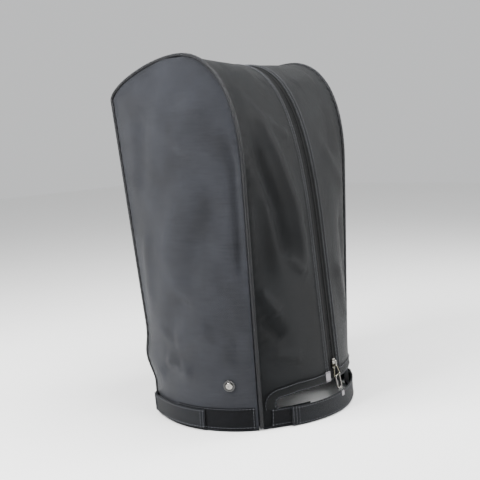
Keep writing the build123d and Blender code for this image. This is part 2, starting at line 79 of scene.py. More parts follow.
@dataclass(frozen=True)
class Arch:
    """Outline of the hood in the plane y, z: front line, curve to the crown, curve to the back, back line."""

    front_base: float
    front_top: float
    front_height: float
    crown_y: float
    crown_height: float
    back_top: float
    back_height: float
    back_base: float
    handles: tuple[float, float, float, float]

    def at(self, t: np.ndarray) -> np.ndarray:
        """Points of the arch; each of its four parts is one unit of t.

        A curved part is a cubic Bezier: four points weighted by (1-s)^3, 3s(1-s)^2, 3s^2(1-s) and s^3.

        Args:
            t: Places along the arch, from 0 at the front of the rim to 4 at the back of the rim.

        Returns:
            Array of y, z pairs with t's shape and one more axis.
        """
        rise_front, run_front, run_back, rise_back = self.handles
        base_front = np.array([self.front_base, 0.0])
        top_front = np.array([self.front_top, self.front_height])
        crown = np.array([self.crown_y, self.crown_height])
        top_back = np.array([self.back_top, self.back_height])
        base_back = np.array([self.back_base, 0.0])
        up_front = (top_front - base_front) / np.linalg.norm(top_front - base_front)
        up_back = (top_back - base_back) / np.linalg.norm(top_back - base_back)
        rise = self.crown_height - self.front_height
        front_handles = (
            top_front + up_front * rise_front * rise,
            crown - np.array([run_front * (self.crown_y - self.front_top), 0.0]),
        )
        drop = self.crown_height - self.back_height
        back_handles = (
            crown + np.array([run_back * (self.back_top - self.crown_y), 0.0]),
            top_back + up_back * rise_back * drop,
        )
        t = np.asarray(t, float)
        part = np.clip(np.floor(t), 0, 3)
        s = (t - part)[..., None]
        lines = (base_front + (top_front - base_front) * s, top_back + (base_back - top_back) * s)
        curves = []
        bends = ((top_front, front_handles, crown), (crown, back_handles, top_back))
        for start, (first, second), end in bends:
            curves.append(
                (1 - s) ** 3 * start + 3 * s * (1 - s) ** 2 * first + 3 * s**2 * (1 - s) * second + s**3 * end
            )
        part = part[..., None]
        curved = np.where(part == 1, curves[0], np.where(part == 2, curves[1], lines[1]))
        return np.where(part == 0, lines[0], curved)


SEAM_ARCH = Arch(-0.0836, -0.0829, 0.325, 0.0049, 0.470, 0.1246, 0.421, 0.087, (0.63, 0.61, 0.41, 0.36))
MIDDLE_ARCH = Arch(-0.1326, -0.11038, 0.240, 0.0085, 0.464, 0.12985, 0.411, 0.136, (0.70, 0.60, 0.11, 0.75))
BASE_HALF_WIDTH = 109 * MM
CROWN_HALF_WIDTH = 129 * MM
SEAM_TILT = math.atan2(CROWN_HALF_WIDTH - BASE_HALF_WIDTH, HOOD_HEIGHT)


def seam_point(side: int, t: np.ndarray, inward: float = 0.0) -> np.ndarray:
    """Point of a piped seam: the seam arch laid on its leaning plane.

    Args:
        side: -1 for the left seam and 1 for the right.
        t: Places along the arch.
        inward: How far the plane is moved towards the middle.
    """
    flat = SEAM_ARCH.at(t)
    along = flat[..., 1]
    half = BASE_HALF_WIDTH - inward + along * math.sin(SEAM_TILT)
    return np.stack([side * half, flat[..., 0], along * math.cos(SEAM_TILT)], axis=-1)


FOLD_STRENGTH = 1.7


@dataclass(frozen=True)
class Fold:
    """Soft ridge or hollow of the fabric along a line through some points, in millimetres."""

    line: tuple[tuple[float, float, float], ...]
    width: float
    depth: float


def fold_lift(points: np.ndarray, folds: Sequence[Fold]) -> np.ndarray:
    """How far folds lift each point: depth times a bell curve of its distance from the fold's line.

    The depth eases to nothing over the first and last fifth of the line.

    Args:
        points: Array of points in metres.
        folds: Ridges (positive depth) and hollows (negative depth), in millimetres.
    """
    lift = np.zeros(points.shape[:-1])
    for fold in folds:
        line = np.array(fold.line) * MM
        runs = np.diff(line, axis=0)
        lengths = np.linalg.norm(runs, axis=-1)
        before = np.concatenate([[0.0], np.cumsum(lengths)])
        nearest = np.full(points.shape[:-1], np.inf)
        place = np.zeros(points.shape[:-1])
        for number, run in enumerate(runs):
            share = np.clip(((points - line[number]) @ run) / (run @ run), 0.0, 1.0)
            gap = np.linalg.norm(points - line[number] - share[..., None] * run, axis=-1)
            closer = gap < nearest
            nearest = np.where(closer, gap, nearest)
            place = np.where(closer, (before[number] + share * lengths[number]) / before[-1], place)
        taper = 0.25 + 0.75 * smooth(0.0, 0.2, place) * smooth(1.0, 0.8, place)
        lift += FOLD_STRENGTH * fold.depth * MM * taper * np.exp(-((nearest / (fold.width * MM)) ** 2))
    return lift


def pull_sink(x: np.ndarray) -> np.ndarray:
    """How far the right fabric sinks onto the tape beside the zip, so that the loose pull passes over it."""
    return 1.0 * MM * smooth(14.0 * MM, 11.8 * MM, x)


def ripple(points: np.ndarray, size: float, seed: int) -> np.ndarray:
    """Irregular soft unevenness between about -1 and 1: a sum of sine waves in spread directions.

    Args:
        points: Array of points in metres.
        size: Length of the longest wave in metres.
        seed: Picks the directions and phases.
    """
    draw = np.random.default_rng(seed)
    total = np.zeros(points.shape[:-1])
    for step in range(7):
        way = draw.normal(size=3)
        way *= 2 * math.pi / (size * 0.78**step * np.linalg.norm(way))
        total += np.sin(points @ way + draw.uniform(0, 2 * math.pi)) * 0.85**step
    return total / 3.2


def slumped(points: np.ndarray) -> np.ndarray:
    """Points of the hood where the fabric has slumped into a roll above each side strap's sewn end.

    The push is outwards and back, times a bell curve of the height round 76 mm and an ease along y.
    """
    x, y, z = points[..., 0], points[..., 1], points[..., 2]
    amount = np.exp(-(((z - 77 * MM) / (21 * MM)) ** 2))
    amount = amount * smooth(30 * MM, 92 * MM, y) * smooth(50 * MM, 105 * MM, np.abs(x))
    pinch = np.exp(-(((z - 41 * MM) / (9 * MM)) ** 2))
    pinch = pinch * smooth(40 * MM, 90 * MM, y) * smooth(60 * MM, 105 * MM, np.abs(x))
    push = (5.6 * amount - 1.2 * pinch) * MM * np.where(x < 0, 1.0, 0.6)
    return points + np.stack([np.sign(x) * push * 0.8, push * 0.6, 0 * push], axis=-1)


class GussetSurface:
    """Band between the two piped seams: a parabola from seam to seam through the middle arch."""

    def __init__(self) -> None:
        """Sets the folds of the band."""
        self.folds = GUSSET_FOLDS

    def base(self, u: np.ndarray, t: np.ndarray) -> np.ndarray:
        """Smooth band: the left, middle and right points weighted by u(u-1)/2, 1-u^2 and u(u+1)/2."""
        u = np.asarray(u, float)[..., None]
        middle_flat = MIDDLE_ARCH.at(t)
        y, z = middle_flat[..., 0], middle_flat[..., 1]
        middle = np.stack([np.zeros_like(y), y, z], axis=-1)
        left = seam_point(-1, t, PANEL_INSET)
        right = seam_point(1, t, PANEL_INSET)
        return left * u * (u - 1) / 2 + middle * (1 - u * u) + right * u * (u + 1) / 2

    def normal(self, u: np.ndarray, t: np.ndarray) -> np.ndarray:
        """Outward unit normal, the cross product of the surface's two slopes."""
        step = 1e-3
        t = np.clip(t, step, 4 - step)
        across = self.base(u + step, t) - self.base(u - step, t)
        along = self.base(u, t + step) - self.base(u, t - step)
        normal = np.cross(across, along)
        return normal / np.linalg.norm(normal, axis=-1, keepdims=True)

    def half_width(self, t: np.ndarray) -> np.ndarray:
        """Half of the band's width, along X."""
        return seam_point(1, t, PANEL_INSET)[..., 0]

    def lift(self, points: np.ndarray) -> np.ndarray:
        """How far the fabric stands off the smooth band; nothing where straps, zip and facing lie on it."""
        x, y, z = points[..., 0], points[..., 1], points[..., 2]
        front = y < 0.06
        from_zip = np.abs(x) - ZIP_WINDOW / 2
        calm = np.where(front, smooth(0.0, 0.024, from_zip), smooth(0.0, 0.03, y - 0.098))
        calm = calm * np.where(front, smooth(0.052, 0.10, z), smooth(0.004, 0.05, z))
        edge = self.half_width_at(z) - np.abs(x)
        near_seam = smooth(0.0, 0.014, edge)
        soft = fold_lift(points, self.folds) + 0.7 * MM * ripple(points, 0.11, 5)
        pucker = 0.32 * MM * np.sin(2 * math.pi * (y * 0.7 + z) / 0.0135 + 2.5 * ripple(points, 0.08, 8))
        return calm * (soft * near_seam + pucker * np.exp(-((edge / 0.008) ** 2)))

    def half_width_at(self, z: np.ndarray) -> np.ndarray:
        """Half of the band's width at a height."""
        return BASE_HALF_WIDTH - PANEL_INSET + z * math.tan(SEAM_TILT)

    def at(self, u: np.ndarray, t: np.ndarray, out: float = 0.0) -> np.ndarray:
        """Point of the fabric's face, lifted by its folds and then moved outwards."""
        points = self.base(u, t)
        lifted = self.lift(points) + out
        return slumped(points + self.normal(u, t) * np.asarray(lifted)[..., None])

    def front_place(self, x: np.ndarray, z: np.ndarray) -> tuple[np.ndarray, np.ndarray]:
        """Values of u and t of a point low on the front, from its x and z.

        The straight part's height is t times the heights of seam and middle, mixed by u^2, so a few passes of
        t = z / mixed height and u = x / half width settle.
        """
        t = np.zeros(np.broadcast(x, z).shape)
        for _ in range(5):
            u = x / self.half_width(t)
            full = u**2 * SEAM_ARCH.front_height * math.cos(SEAM_TILT) + (1 - u**2) * MIDDLE_ARCH.front_height
            t = z / full
        return u, t

    def front(self, x: np.ndarray, z: np.ndarray, out: float = 0.0) -> np.ndarray:
        """Point of the front face at an x and z, moved outwards."""
        u, t = self.front_place(np.asarray(x, float), np.asarray(z, float))
        return self.at(u, t, out)

    def front_normal(self, x: np.ndarray, z: np.ndarray) -> np.ndarray:
        """Outward unit normal of the front face at an x and z."""
        u, t = self.front_place(np.asarray(x, float), np.asarray(z, float))
        return self.normal(u, t)

    def reach(self, u: np.ndarray, y: float) -> np.ndarray:
        """Place t at which the band passes a y on its way down the back, found by halving the interval."""
        low = np.full(np.shape(u), 2.0)
        high = np.full(np.shape(u), 3.0)
        for _ in range(30):
            middle = (low + high) / 2
            short = self.base(u, middle)[..., 1] < y
            low = np.where(short, middle, low)
            high = np.where(short, high, middle)
        return (low + high) / 2


class SideSurface:
    """Side panel: at each height an arc through the two piped seams, flatter towards the crown."""

    bulge = 36 * MM
    bulge_high = 15 * MM
    dome_power = 6

    def __init__(self, side: int) -> None:
        """Prepares the seam's front and back y by height.

        Args:
            side: -1 for the left panel and 1 for the right.
        """
        self.side = side
        t = np.concatenate([np.linspace(0, 1, 40), 1 + np.linspace(0, 1, 200)[1:]])
        front = seam_point(-1, t)
        back = seam_point(-1, 4 - t * 1.0)
        self.front_line = front[:, [2, 1]]
        self.back_line = back[:, [2, 1]]
        self.top = float(front[-1, 2])
        self.folds = LEFT_FOLDS if side < 0 else RIGHT_FOLDS

    def span(self, z: np.ndarray, inset: float = 0.0) -> tuple[np.ndarray, np.ndarray]:
        """Front and back y of the seam at a height, moved in by an inset."""
        front = np.interp(z, self.front_line[:, 0], self.front_line[:, 1])
        back = np.interp(z, self.back_line[:, 0], self.back_line[:, 1])
        shrink = np.minimum(inset, (back - front) / 2)
        return front + shrink, back - shrink

    def base(self, y: np.ndarray, z: np.ndarray) -> np.ndarray:
        """Smooth panel: x is the seam's half width plus the arc's height over its chord.

        The arc has the radius (chord^2/4 + sagitta^2) / (2 sagitta).
        """
        front, back = self.span(z)
        half = np.maximum((back - front) / 2, 2 * MM)
        dome = np.sqrt(np.clip(1 - (z / HOOD_HEIGHT) ** self.dome_power, 0.0, 1.0))
        bulge = self.bulge + (self.bulge_high - self.bulge) * z / HOOD_HEIGHT
        sagitta = np.maximum(bulge * dome, 0.05 * MM)
        radius = (half**2 + sagitta**2) / (2 * sagitta)
        seam = BASE_HALF_WIDTH + (CROWN_HALF_WIDTH - BASE_HALF_WIDTH) * z / HOOD_HEIGHT
        offset = np.clip(y - (front + back) / 2, -half, half)
        x = seam + sagitta - radius + np.sqrt(np.maximum(radius**2 - offset**2, 0.0))
        return np.stack([self.side * x, y + 0 * z, z + 0 * y], axis=-1)

    def normal(self, y: np.ndarray, z: np.ndarray) -> np.ndarray:
        """Outward unit normal, the cross product of the surface's two slopes."""
        step = 0.4 * MM
        along = self.base(y + step, z) - self.base(y - step, z)
        up = self.base(y, np.minimum(z + step, self.top)) - self.base(y, z - step)
        normal = np.cross(along, up) * self.side
        return normal / np.maximum(np.linalg.norm(normal, axis=-1, keepdims=True), 1e-12)

    def lift(self, points: np.ndarray) -> np.ndarray:
        """How far the fabric stands off the smooth panel. It is flat under the strap and at the stud."""
        y, z = points[..., 1], points[..., 2]
        front, back = self.span(z)
        edge = np.minimum(np.minimum(y - front, back - y), (HOOD_HEIGHT - z) * 1.2)
        near_seam = smooth(0.0, 0.012, edge)
        calm = smooth(0.036, 0.075, z)
        stud = np.hypot(y + 0.0527, z - 0.059)
        calm = calm * smooth(0.010, 0.024, stud)
        soft = fold_lift(points, self.folds) + 0.9 * MM * ripple(points, 0.13, 21 + self.side)
        pucker = 0.35 * MM * np.sin(2 * math.pi * (y * 0.7 + z) / 0.0135 + 2.5 * ripple(points, 0.08, 9))
        return calm * (soft * near_seam + pucker * np.exp(-((edge / 0.008) ** 2)))

    def at(self, y: np.ndarray, z: np.ndarray, out: float = 0.0) -> np.ndarray:
        """Point of the fabric's face, lifted by its folds and then moved outwards."""
        points = self.base(np.asarray(y, float), np.asarray(z, float))
        lifted = self.lift(points) + out
        return slumped(points + self.normal(y, z) * np.asarray(lifted)[..., None])


GUSSET_FOLDS = (
    Fold(((-98, -58, 420), (-78, -80, 384), (-60, -96, 336), (-44, -106, 276), (-34, -112, 190)), 10, 3.4),
    Fold(((-72, -80, 390), (-52, -86, 376), (-28, -90, 364)), 8, 1.8),
    Fold(((-100, -82, 376), (-92, -91, 330), (-74, -102, 272), (-62, -108, 206)), 10, -3.8),
    Fold(((-102, -86, 300), (-96, -93, 240), (-92, -96, 180)), 11, -2.0),
    Fold(((-106, -86, 176), (-84, -102, 142)), 8, 2.4),
    Fold(((-104, -88, 146), (-78, -104, 112)), 9, -1.9),
    Fold(((-66, -105, 214), (-38, -114, 190)), 7, 1.3),
    Fold(((-96, -92, 96), (-52, -112, 82)), 9, 1.2),
    Fold(((-52, -80, 428), (-26, -62, 444)), 13, -2.2),
    Fold(((-100, -36, 450), (-40, -34, 450)), 17, 1.8),
    Fold(((-96, 30, 462), (-40, 40, 458)), 18, -2.0),
    Fold(((66, -100, 96), (40, -116, 196)), 14, 2.4),
    Fold(((92, -90, 150), (76, -98, 262)), 13, -2.8),
    Fold(((98, -84, 280), (44, -92, 352)), 12, 2.2),
    Fold(((70, -92, 330), (92, -66, 408)), 13, -2.2),
    Fold(((100, -40, 446), (36, -62, 440)), 14, 1.8),
    Fold(((90, 24, 462), (34, 34, 458)), 17, -1.8),
    Fold(((-70, 118, 120), (-10, 136, 220)), 18, 3.0),
    Fold(((-98, 104, 160), (-60, 124, 262)), 13, -2.8),
    Fold(((60, 122, 90), (16, 136, 190)), 16, -2.6),
    Fold(((92, 108, 150), (48, 128, 290)), 14, 2.8),
    Fold(((-44, 132, 262), (52, 130, 342)), 18, 2.4),
    Fold(((96, 112, 300), (60, 128, 396)), 15, -2.4),
    Fold(((-88, 116, 330), (-40, 130, 400)), 14, 2.0),
    Fold(((-10, 137, 70), (52, 134, 116)), 13, 1.8),
)
LEFT_FOLDS = (
    Fold(((-130, -62, 372), (-126, -72, 330), (-124, -74, 270), (-122, -74, 180)), 8, -2.6),
    Fold(((-134, -50, 300), (-145, 2, 170)), 19, -2.8),
    Fold(((-145, 2, 170), (-142, 40, 110)), 16, -2.0),
    Fold(((-138, -22, 330), (-143, 44, 196)), 22, 2.8),
    Fold(((-138, -30, 420), (-138, 10, 350)), 18, 1.8),
    Fold(((-136, 60, 400), (-136, 76, 300)), 15, -2.2),
    Fold(((-136, 66, 250), (-134, 74, 150)), 12, 2.0),
    Fold(((-140, -38, 128), (-144, 24, 104)), 12, 1.8),
    Fold(((-142, 8, 86), (-136, 58, 56)), 10, -2.4),
    Fold(((-143, -6, 66), (-140, 44, 84)), 11, 2.2),
    Fold(((-134, -66, 120), (-134, -66, 84)), 9, -1.6),
)
RIGHT_FOLDS = (
    Fold(((130, -64, 330), (128, -64, 230)), 9, -2.4),
    Fold(((134, -46, 310), (145, 8, 190)), 18, 2.8),
    Fold(((143, 20, 280), (142, 66, 160)), 20, -2.8),
    Fold(((138, -10, 420), (140, 50, 340)), 20, 2.4),
    Fold(((136, 76, 380), (134, 92, 280)), 14, -2.0),
    Fold(((143, -30, 150), (144, 26, 100)), 13, 2.2),
    Fold(((142, 10, 88), (136, 60, 58)), 11, -2.2),
    Fold(((138, 60, 120), (134, 76, 84)), 13, 2.8),
)


# ---------------------------------------------------------------------------------------------------------
# Meshes
# ---------------------------------------------------------------------------------------------------------


def make_object(
    name: str, points: np.ndarray, faces: np.ndarray | list[list[int]], uv: np.ndarray | None = None
) -> bpy.types.Object:
    """Mesh object at the origin from points, faces and, for each point, a place on the fabric.

    Args:
        name: The object's name.
        points: Array of points, one row each.
        faces: Point numbers, one row a face; a list where the faces differ in size.
        uv: Array of pairs in metres along the fabric, or None.
    """
    mesh = bpy.data.meshes.new(name)
    mesh.from_pydata(points.tolist(), [], faces if isinstance(faces, list) else faces.tolist())
    if uv is not None:
        corners = np.empty(len(mesh.loops), np.int32)
        mesh.loops.foreach_get("vertex_index", corners)
        layer = mesh.uv_layers.new(name="fabric")
        layer.data.foreach_set("uv", uv[corners].astype(np.float32).ravel())
    mesh.validate()
    mesh.update()
    mesh.shade_smooth()
    mesh.set_sharp_from_angle(angle=math.radians(42))
    obj = bpy.data.objects.new(name, mesh)
    bpy.context.scene.collection.objects.link(obj)
    return obj


def grid_faces(rows: int, columns: int, wrap: bool = False) -> np.ndarray:
    """Quads of a grid of points, row by row; wrap joins the last column to the first."""
    row, column = np.meshgrid(np.arange(rows - 1), np.arange(columns - (0 if wrap else 1)), indexing="ij")
    after = (column + 1) % columns
    first = row * columns + column
    second = row * columns + after
    return np.stack([first, second, second + columns, first + columns], axis=-1).reshape(-1, 4)


def fabric_lengths(points: np.ndarray) -> np.ndarray:
    """Place of each grid point on the fabric, in metres along its row and its column."""
    across = np.linalg.norm(np.diff(points, axis=1), axis=-1)
    along = np.linalg.norm(np.diff(points, axis=0), axis=-1)
    u = np.concatenate([np.zeros((points.shape[0], 1)), np.cumsum(across, axis=1)], axis=1)
    v = np.concatenate([np.zeros((1, points.shape[1])), np.cumsum(along, axis=0)], axis=0)
    return np.stack([u - u.mean(axis=1, keepdims=True), v], axis=-1)


def grid_normals(points: np.ndarray) -> np.ndarray:
    """Unit normals of a grid, the cross product of its two slopes, pointing out for columns then rows."""
    normal = np.cross(np.gradient(points, axis=1), np.gradient(points, axis=0))
    return normal / np.maximum(np.linalg.norm(normal, axis=-1, keepdims=True), 1e-12)


def shell(
    name: str, points: np.ndarray, thickness: float | np.ndarray, lined: bool = False
) -> bpy.types.Object:
    """Closed sheet: the grid as outer face, the grid moved in along its normals, and walls round the edge.

    Args:
        name: The object's name.
        points: Grid of points of the outer face, whose columns and rows run anticlockwise seen from outside.
        thickness: Thickness in metres, one value or one for each grid point.
        lined: Whether the inner face takes the piece's second material.
    """
    rows, columns = points.shape[:2]
    inner = points - grid_normals(points) * (np.asarray(thickness) * np.ones((rows, columns)))[..., None]
    count = rows * columns
    outer_faces = grid_faces(rows, columns)
    number = np.arange(count).reshape(rows, columns)
    rim = np.concatenate([number[0, :], number[1:, -1], number[-1, -2::-1], number[-2:0:-1, 0]])
    after = np.roll(rim, -1)
    walls = np.stack([rim, rim + count, after + count, after], axis=-1)
    faces = np.concatenate([outer_faces, outer_faces[:, ::-1] + count, walls])
    place = fabric_lengths(points).reshape(-1, 2)
    both = np.concatenate([points.reshape(-1, 3), inner.reshape(-1, 3)])
    made = make_object(name, both, faces, np.concatenate([place, place]))
    if lined:
        side = np.zeros(len(faces), np.int32)
        side[len(outer_faces) : 2 * len(outer_faces)] = 1
        made.data.materials.append(FINISHES.get(SIDE_OXFORD))
        made.data.materials.append(FINISHES.get(COATING))
        made.data.polygons.foreach_set("material_index", side)
    return made


def frames_along(path: np.ndarray, up: np.ndarray) -> tuple[np.ndarray, np.ndarray, np.ndarray]:
    """Unit directions along a path, beside it and above it, the last nearest to up."""
    along = np.gradient(path, axis=0)
    along /= np.linalg.norm(along, axis=-1, keepdims=True)
    beside = np.cross(along, up)
    beside /= np.linalg.norm(beside, axis=-1, keepdims=True)
    return along, beside, np.cross(beside, along)


def swept(name: str, path: np.ndarray, up: np.ndarray, profile: np.ndarray) -> bpy.types.Object:
    """Profile carried along a path: path point plus beside times its first value and above times its second.

    Args:
        name: The object's name.
        path: Points of the path.
        up: Direction for each path point that the profile's second axis points along.
        profile: Closed outline of pairs, anticlockwise, or one such outline for each path point.
    """
    _, beside, above = frames_along(path, up)
    outline = np.broadcast_to(profile, (len(path),) + profile.shape[-2:])
    ring = path[:, None] + beside[:, None] * outline[..., :1] + above[:, None] * outline[..., 1:]
    rows, columns = ring.shape[:2]
    steps = np.linalg.norm(np.diff(path, axis=0), axis=-1)
    v = np.concatenate([[0.0], np.cumsum(steps)])
    turn = np.linalg.norm(np.diff(outline[0], axis=0, append=outline[0][:1]), axis=-1)
    u = np.concatenate([[0.0], np.cumsum(turn)[:-1]])
    place = np.stack(np.broadcast_arrays(u[None, :], v[:, None]), axis=-1).reshape(-1, 2)
    faces = grid_faces(rows, columns, wrap=True)
    points = np.concatenate([ring.reshape(-1, 3), path[:1], path[-1:]])
    loop = np.arange(columns)
    after = np.roll(loop, -1)
    start_cap = np.stack([loop, np.full(columns, rows * columns), after, after], axis=-1)[:, :3]
    end = loop + (rows - 1) * columns
    end_cap = np.stack([end, np.roll(end, -1), np.full(columns, rows * columns + 1)], axis=-1)
    mesh_faces = faces.tolist() + start_cap.tolist() + end_cap.tolist()
    place = np.concatenate([place, place[:1], place[-1:]])
    mesh = make_object(name, points, mesh_faces, place)
    outward(mesh)
    return mesh


def outward(obj: bpy.types.Object) -> None:
    """Turns a closed mesh's faces outwards."""
    mesh = bmesh.new()
    mesh.from_mesh(obj.data)
    bmesh.ops.recalc_face_normals(mesh, faces=mesh.faces)
    mesh.to_mesh(obj.data)
    mesh.free()


def resampled(path: np.ndarray, normals: np.ndarray, step: float) -> tuple[np.ndarray, np.ndarray]:
    """Path and its normals at equal steps along its length."""
    gaps = np.linalg.norm(np.diff(path, axis=0), axis=-1)
    length = np.concatenate([[0.0], np.cumsum(gaps)])
    count = max(2, int(round(length[-1] / step)) + 1)
    places = np.linspace(0.0, length[-1], count)
    even = np.stack([np.interp(places, length, path[:, axis]) for axis in range(3)], axis=-1)
    turned = np.stack([np.interp(places, length, normals[:, axis]) for axis in range(3)], axis=-1)
    return even, turned / np.linalg.norm(turned, axis=-1, keepdims=True)


STITCH_PITCH = 4.2 * MM
STITCH_LENGTH = 3.1 * MM
STITCH_RADIUS = 0.42 * MM  # drawn a little thicker than the 0.25 mm thread, so that single stitches show


def stitches(name: str, rows: Sequence[tuple[np.ndarray, np.ndarray]]) -> bpy.types.Object:
    """Rows of separate stitches lying on the fabric, joined into one piece.

    Each stitch is a spindle of six rings and six points a ring. Its radius is sqrt(sin) of its place along
    itself, and it arches up off the fabric in the middle.

    Args:
        name: The object's name.
        rows: Pairs of a path on the fabric's face and the face's normals along it.
    """
    all_points = []
    all_faces = []
    total = 0
    ring_share = np.linspace(0.0, 1.0, 7)
    ring_turn = np.arange(6) * math.pi / 3
    for path, normals in rows:
        centres, up = resampled(path, normals, STITCH_PITCH)
        along, beside, above = frames_along(centres, up)
        count = len(centres)
        length = (ring_share - 0.5) * STITCH_LENGTH
        radius = STITCH_RADIUS * np.maximum(np.sin(math.pi * ring_share), 0.12) ** 0.5
        arch = STITCH_RADIUS * (0.2 + 0.7 * np.sin(math.pi * ring_share))
        ring = (
            centres[:, None, None]
            + along[:, None, None] * length[None, :, None, None]
            + beside[:, None, None] * (radius[:, None] * np.cos(ring_turn))[None, ..., None]
            + above[:, None, None] * (arch[:, None] + radius[:, None] * np.sin(ring_turn))[None, ..., None]
        )
        faces = grid_faces(len(ring_share), 6, wrap=True)
        starts = total + np.arange(count)[:, None, None] * ring_share.size * 6
        all_points.append(ring.reshape(-1, 3))
        all_faces.append((faces[None] + starts).reshape(-1, 4)[:, ::-1])
        caps = np.array([[0, 1, 2, 3], [0, 3, 4, 5]])
        last = caps + (ring_share.size - 1) * 6
        ends = np.concatenate([caps, last[:, ::-1]])
        all_faces.append((ends[None] + starts).reshape(-1, 4))
        total += count * ring_share.size * 6
    obj = make_object(name, np.concatenate(all_points), np.concatenate(all_faces))
    outward(obj)
    return obj


def carve(obj: bpy.types.Object, cutters: Sequence[bpy.types.Object]) -> None:
    """Cuts closed solids out of a piece and throws the cutters away."""
    for cutter in cutters:
        modifier = obj.modifiers.new("cut", "BOOLEAN")
        modifier.operation = "DIFFERENCE"
        modifier.solver = "EXACT"
        modifier.object = cutter
    apply_modifiers(obj)
    for cutter in cutters:
        bpy.data.objects.remove(cutter)
    obj.data.set_sharp_from_angle(angle=math.radians(42))


def apply_modifiers(obj: bpy.types.Object) -> None:
    """Replaces a piece's mesh by what its modifiers make of it."""
    graph = bpy.context.evaluated_depsgraph_get()
    made = bpy.data.meshes.new_from_object(obj.evaluated_get(graph))
    obj.modifiers.clear()
    obj.data = made


def rounded_outline(corners: np.ndarray, radii: Sequence[float], steps: int = 8) -> np.ndarray:
    """Outline whose corners are arcs tangent to both sides.

    Args:
        corners: Corner points in order, one pair a row.
        radii: Radius of each corner's arc.
        steps: Points on each arc.
    """
    points = []
    for number, radius in enumerate(radii):
        corner = corners[number]
        to_before = corners[number - 1] - corner
        to_after = corners[(number + 1) % len(corners)] - corner
        to_before = to_before / np.linalg.norm(to_before)
        to_after = to_after / np.linalg.norm(to_after)
        half = math.acos(float(np.clip(to_before @ to_after, -1, 1))) / 2
        reach = radius / math.tan(half)
        between = to_before + to_after
        centre = corner + between / np.linalg.norm(between) * radius / math.sin(half)
        first = corner + to_before * reach - centre
        last = corner + to_after * reach - centre
        share = np.linspace(0, 1, steps)[:, None]
        bend = math.pi - 2 * half
        arc = (np.sin((1 - share) * bend) * first + np.sin(share * bend) * last) / max(math.sin(bend), 1e-9)
        points.append(centre + arc)
    return np.concatenate(points)


def prism(name: str, outline: np.ndarray, y_near: float, y_far: float) -> bpy.types.Object:
    """Closed prism of an x, z outline between two values of y."""
    count = len(outline)
    near = np.column_stack([outline[:, 0], np.full(count, y_near), outline[:, 1]])
    far = near + np.array([0, y_far - y_near, 0])
    loop = np.arange(count)
    walls = np.stack([loop, np.roll(loop, -1), np.roll(loop, -1) + count, loop + count], axis=-1).tolist()
    caps = [loop[::-1].tolist(), (loop + count).tolist()]
    obj = make_object(name, np.concatenate([near, far]), walls + caps)
    outward(obj)
    return obj


# ---------------------------------------------------------------------------------------------------------
# Finishes
# ---------------------------------------------------------------------------------------------------------


def linear(colour: str) -> tuple[float, float, float, float]:
    """Linear colour of an sRGB hex value such as "#3a3b3f"."""
    parts = np.array([int(colour[k : k + 2], 16) for k in (1, 3, 5)]) / 255.0
    flat = np.where(parts <= 0.04045, parts / 12.92, ((parts + 0.055) / 1.055) ** 2.4)
    return (float(flat[0]), float(flat[1]), float(flat[2]), 1.0)


def add_node(
    tree: bpy.types.NodeTree, kind: str, inputs: dict[object, object] | None = None, **settings: object
) -> bpy.types.Node:
    """Adds a node, sets its properties and links or sets its inputs.

    Args:
        tree: The material's node tree.
        kind: The node's type name.
        inputs: Input name or number to a socket, which is linked, or to a plain value, which is set.
        **settings: Properties of the node.

    Returns:
        The new node.
    """
    node = tree.nodes.new(kind)
    for key, value in settings.items():
        setattr(node, key, value)
    for key, value in (inputs or {}).items():
        if isinstance(value, bpy.types.NodeSocket):
            tree.links.new(value, node.inputs[key])
        else:
            node.inputs[key].default_value = value
    return node


class Place(Enum):
    """What a pattern follows."""

    FABRIC = "fabric"
    OBJECT = "object"


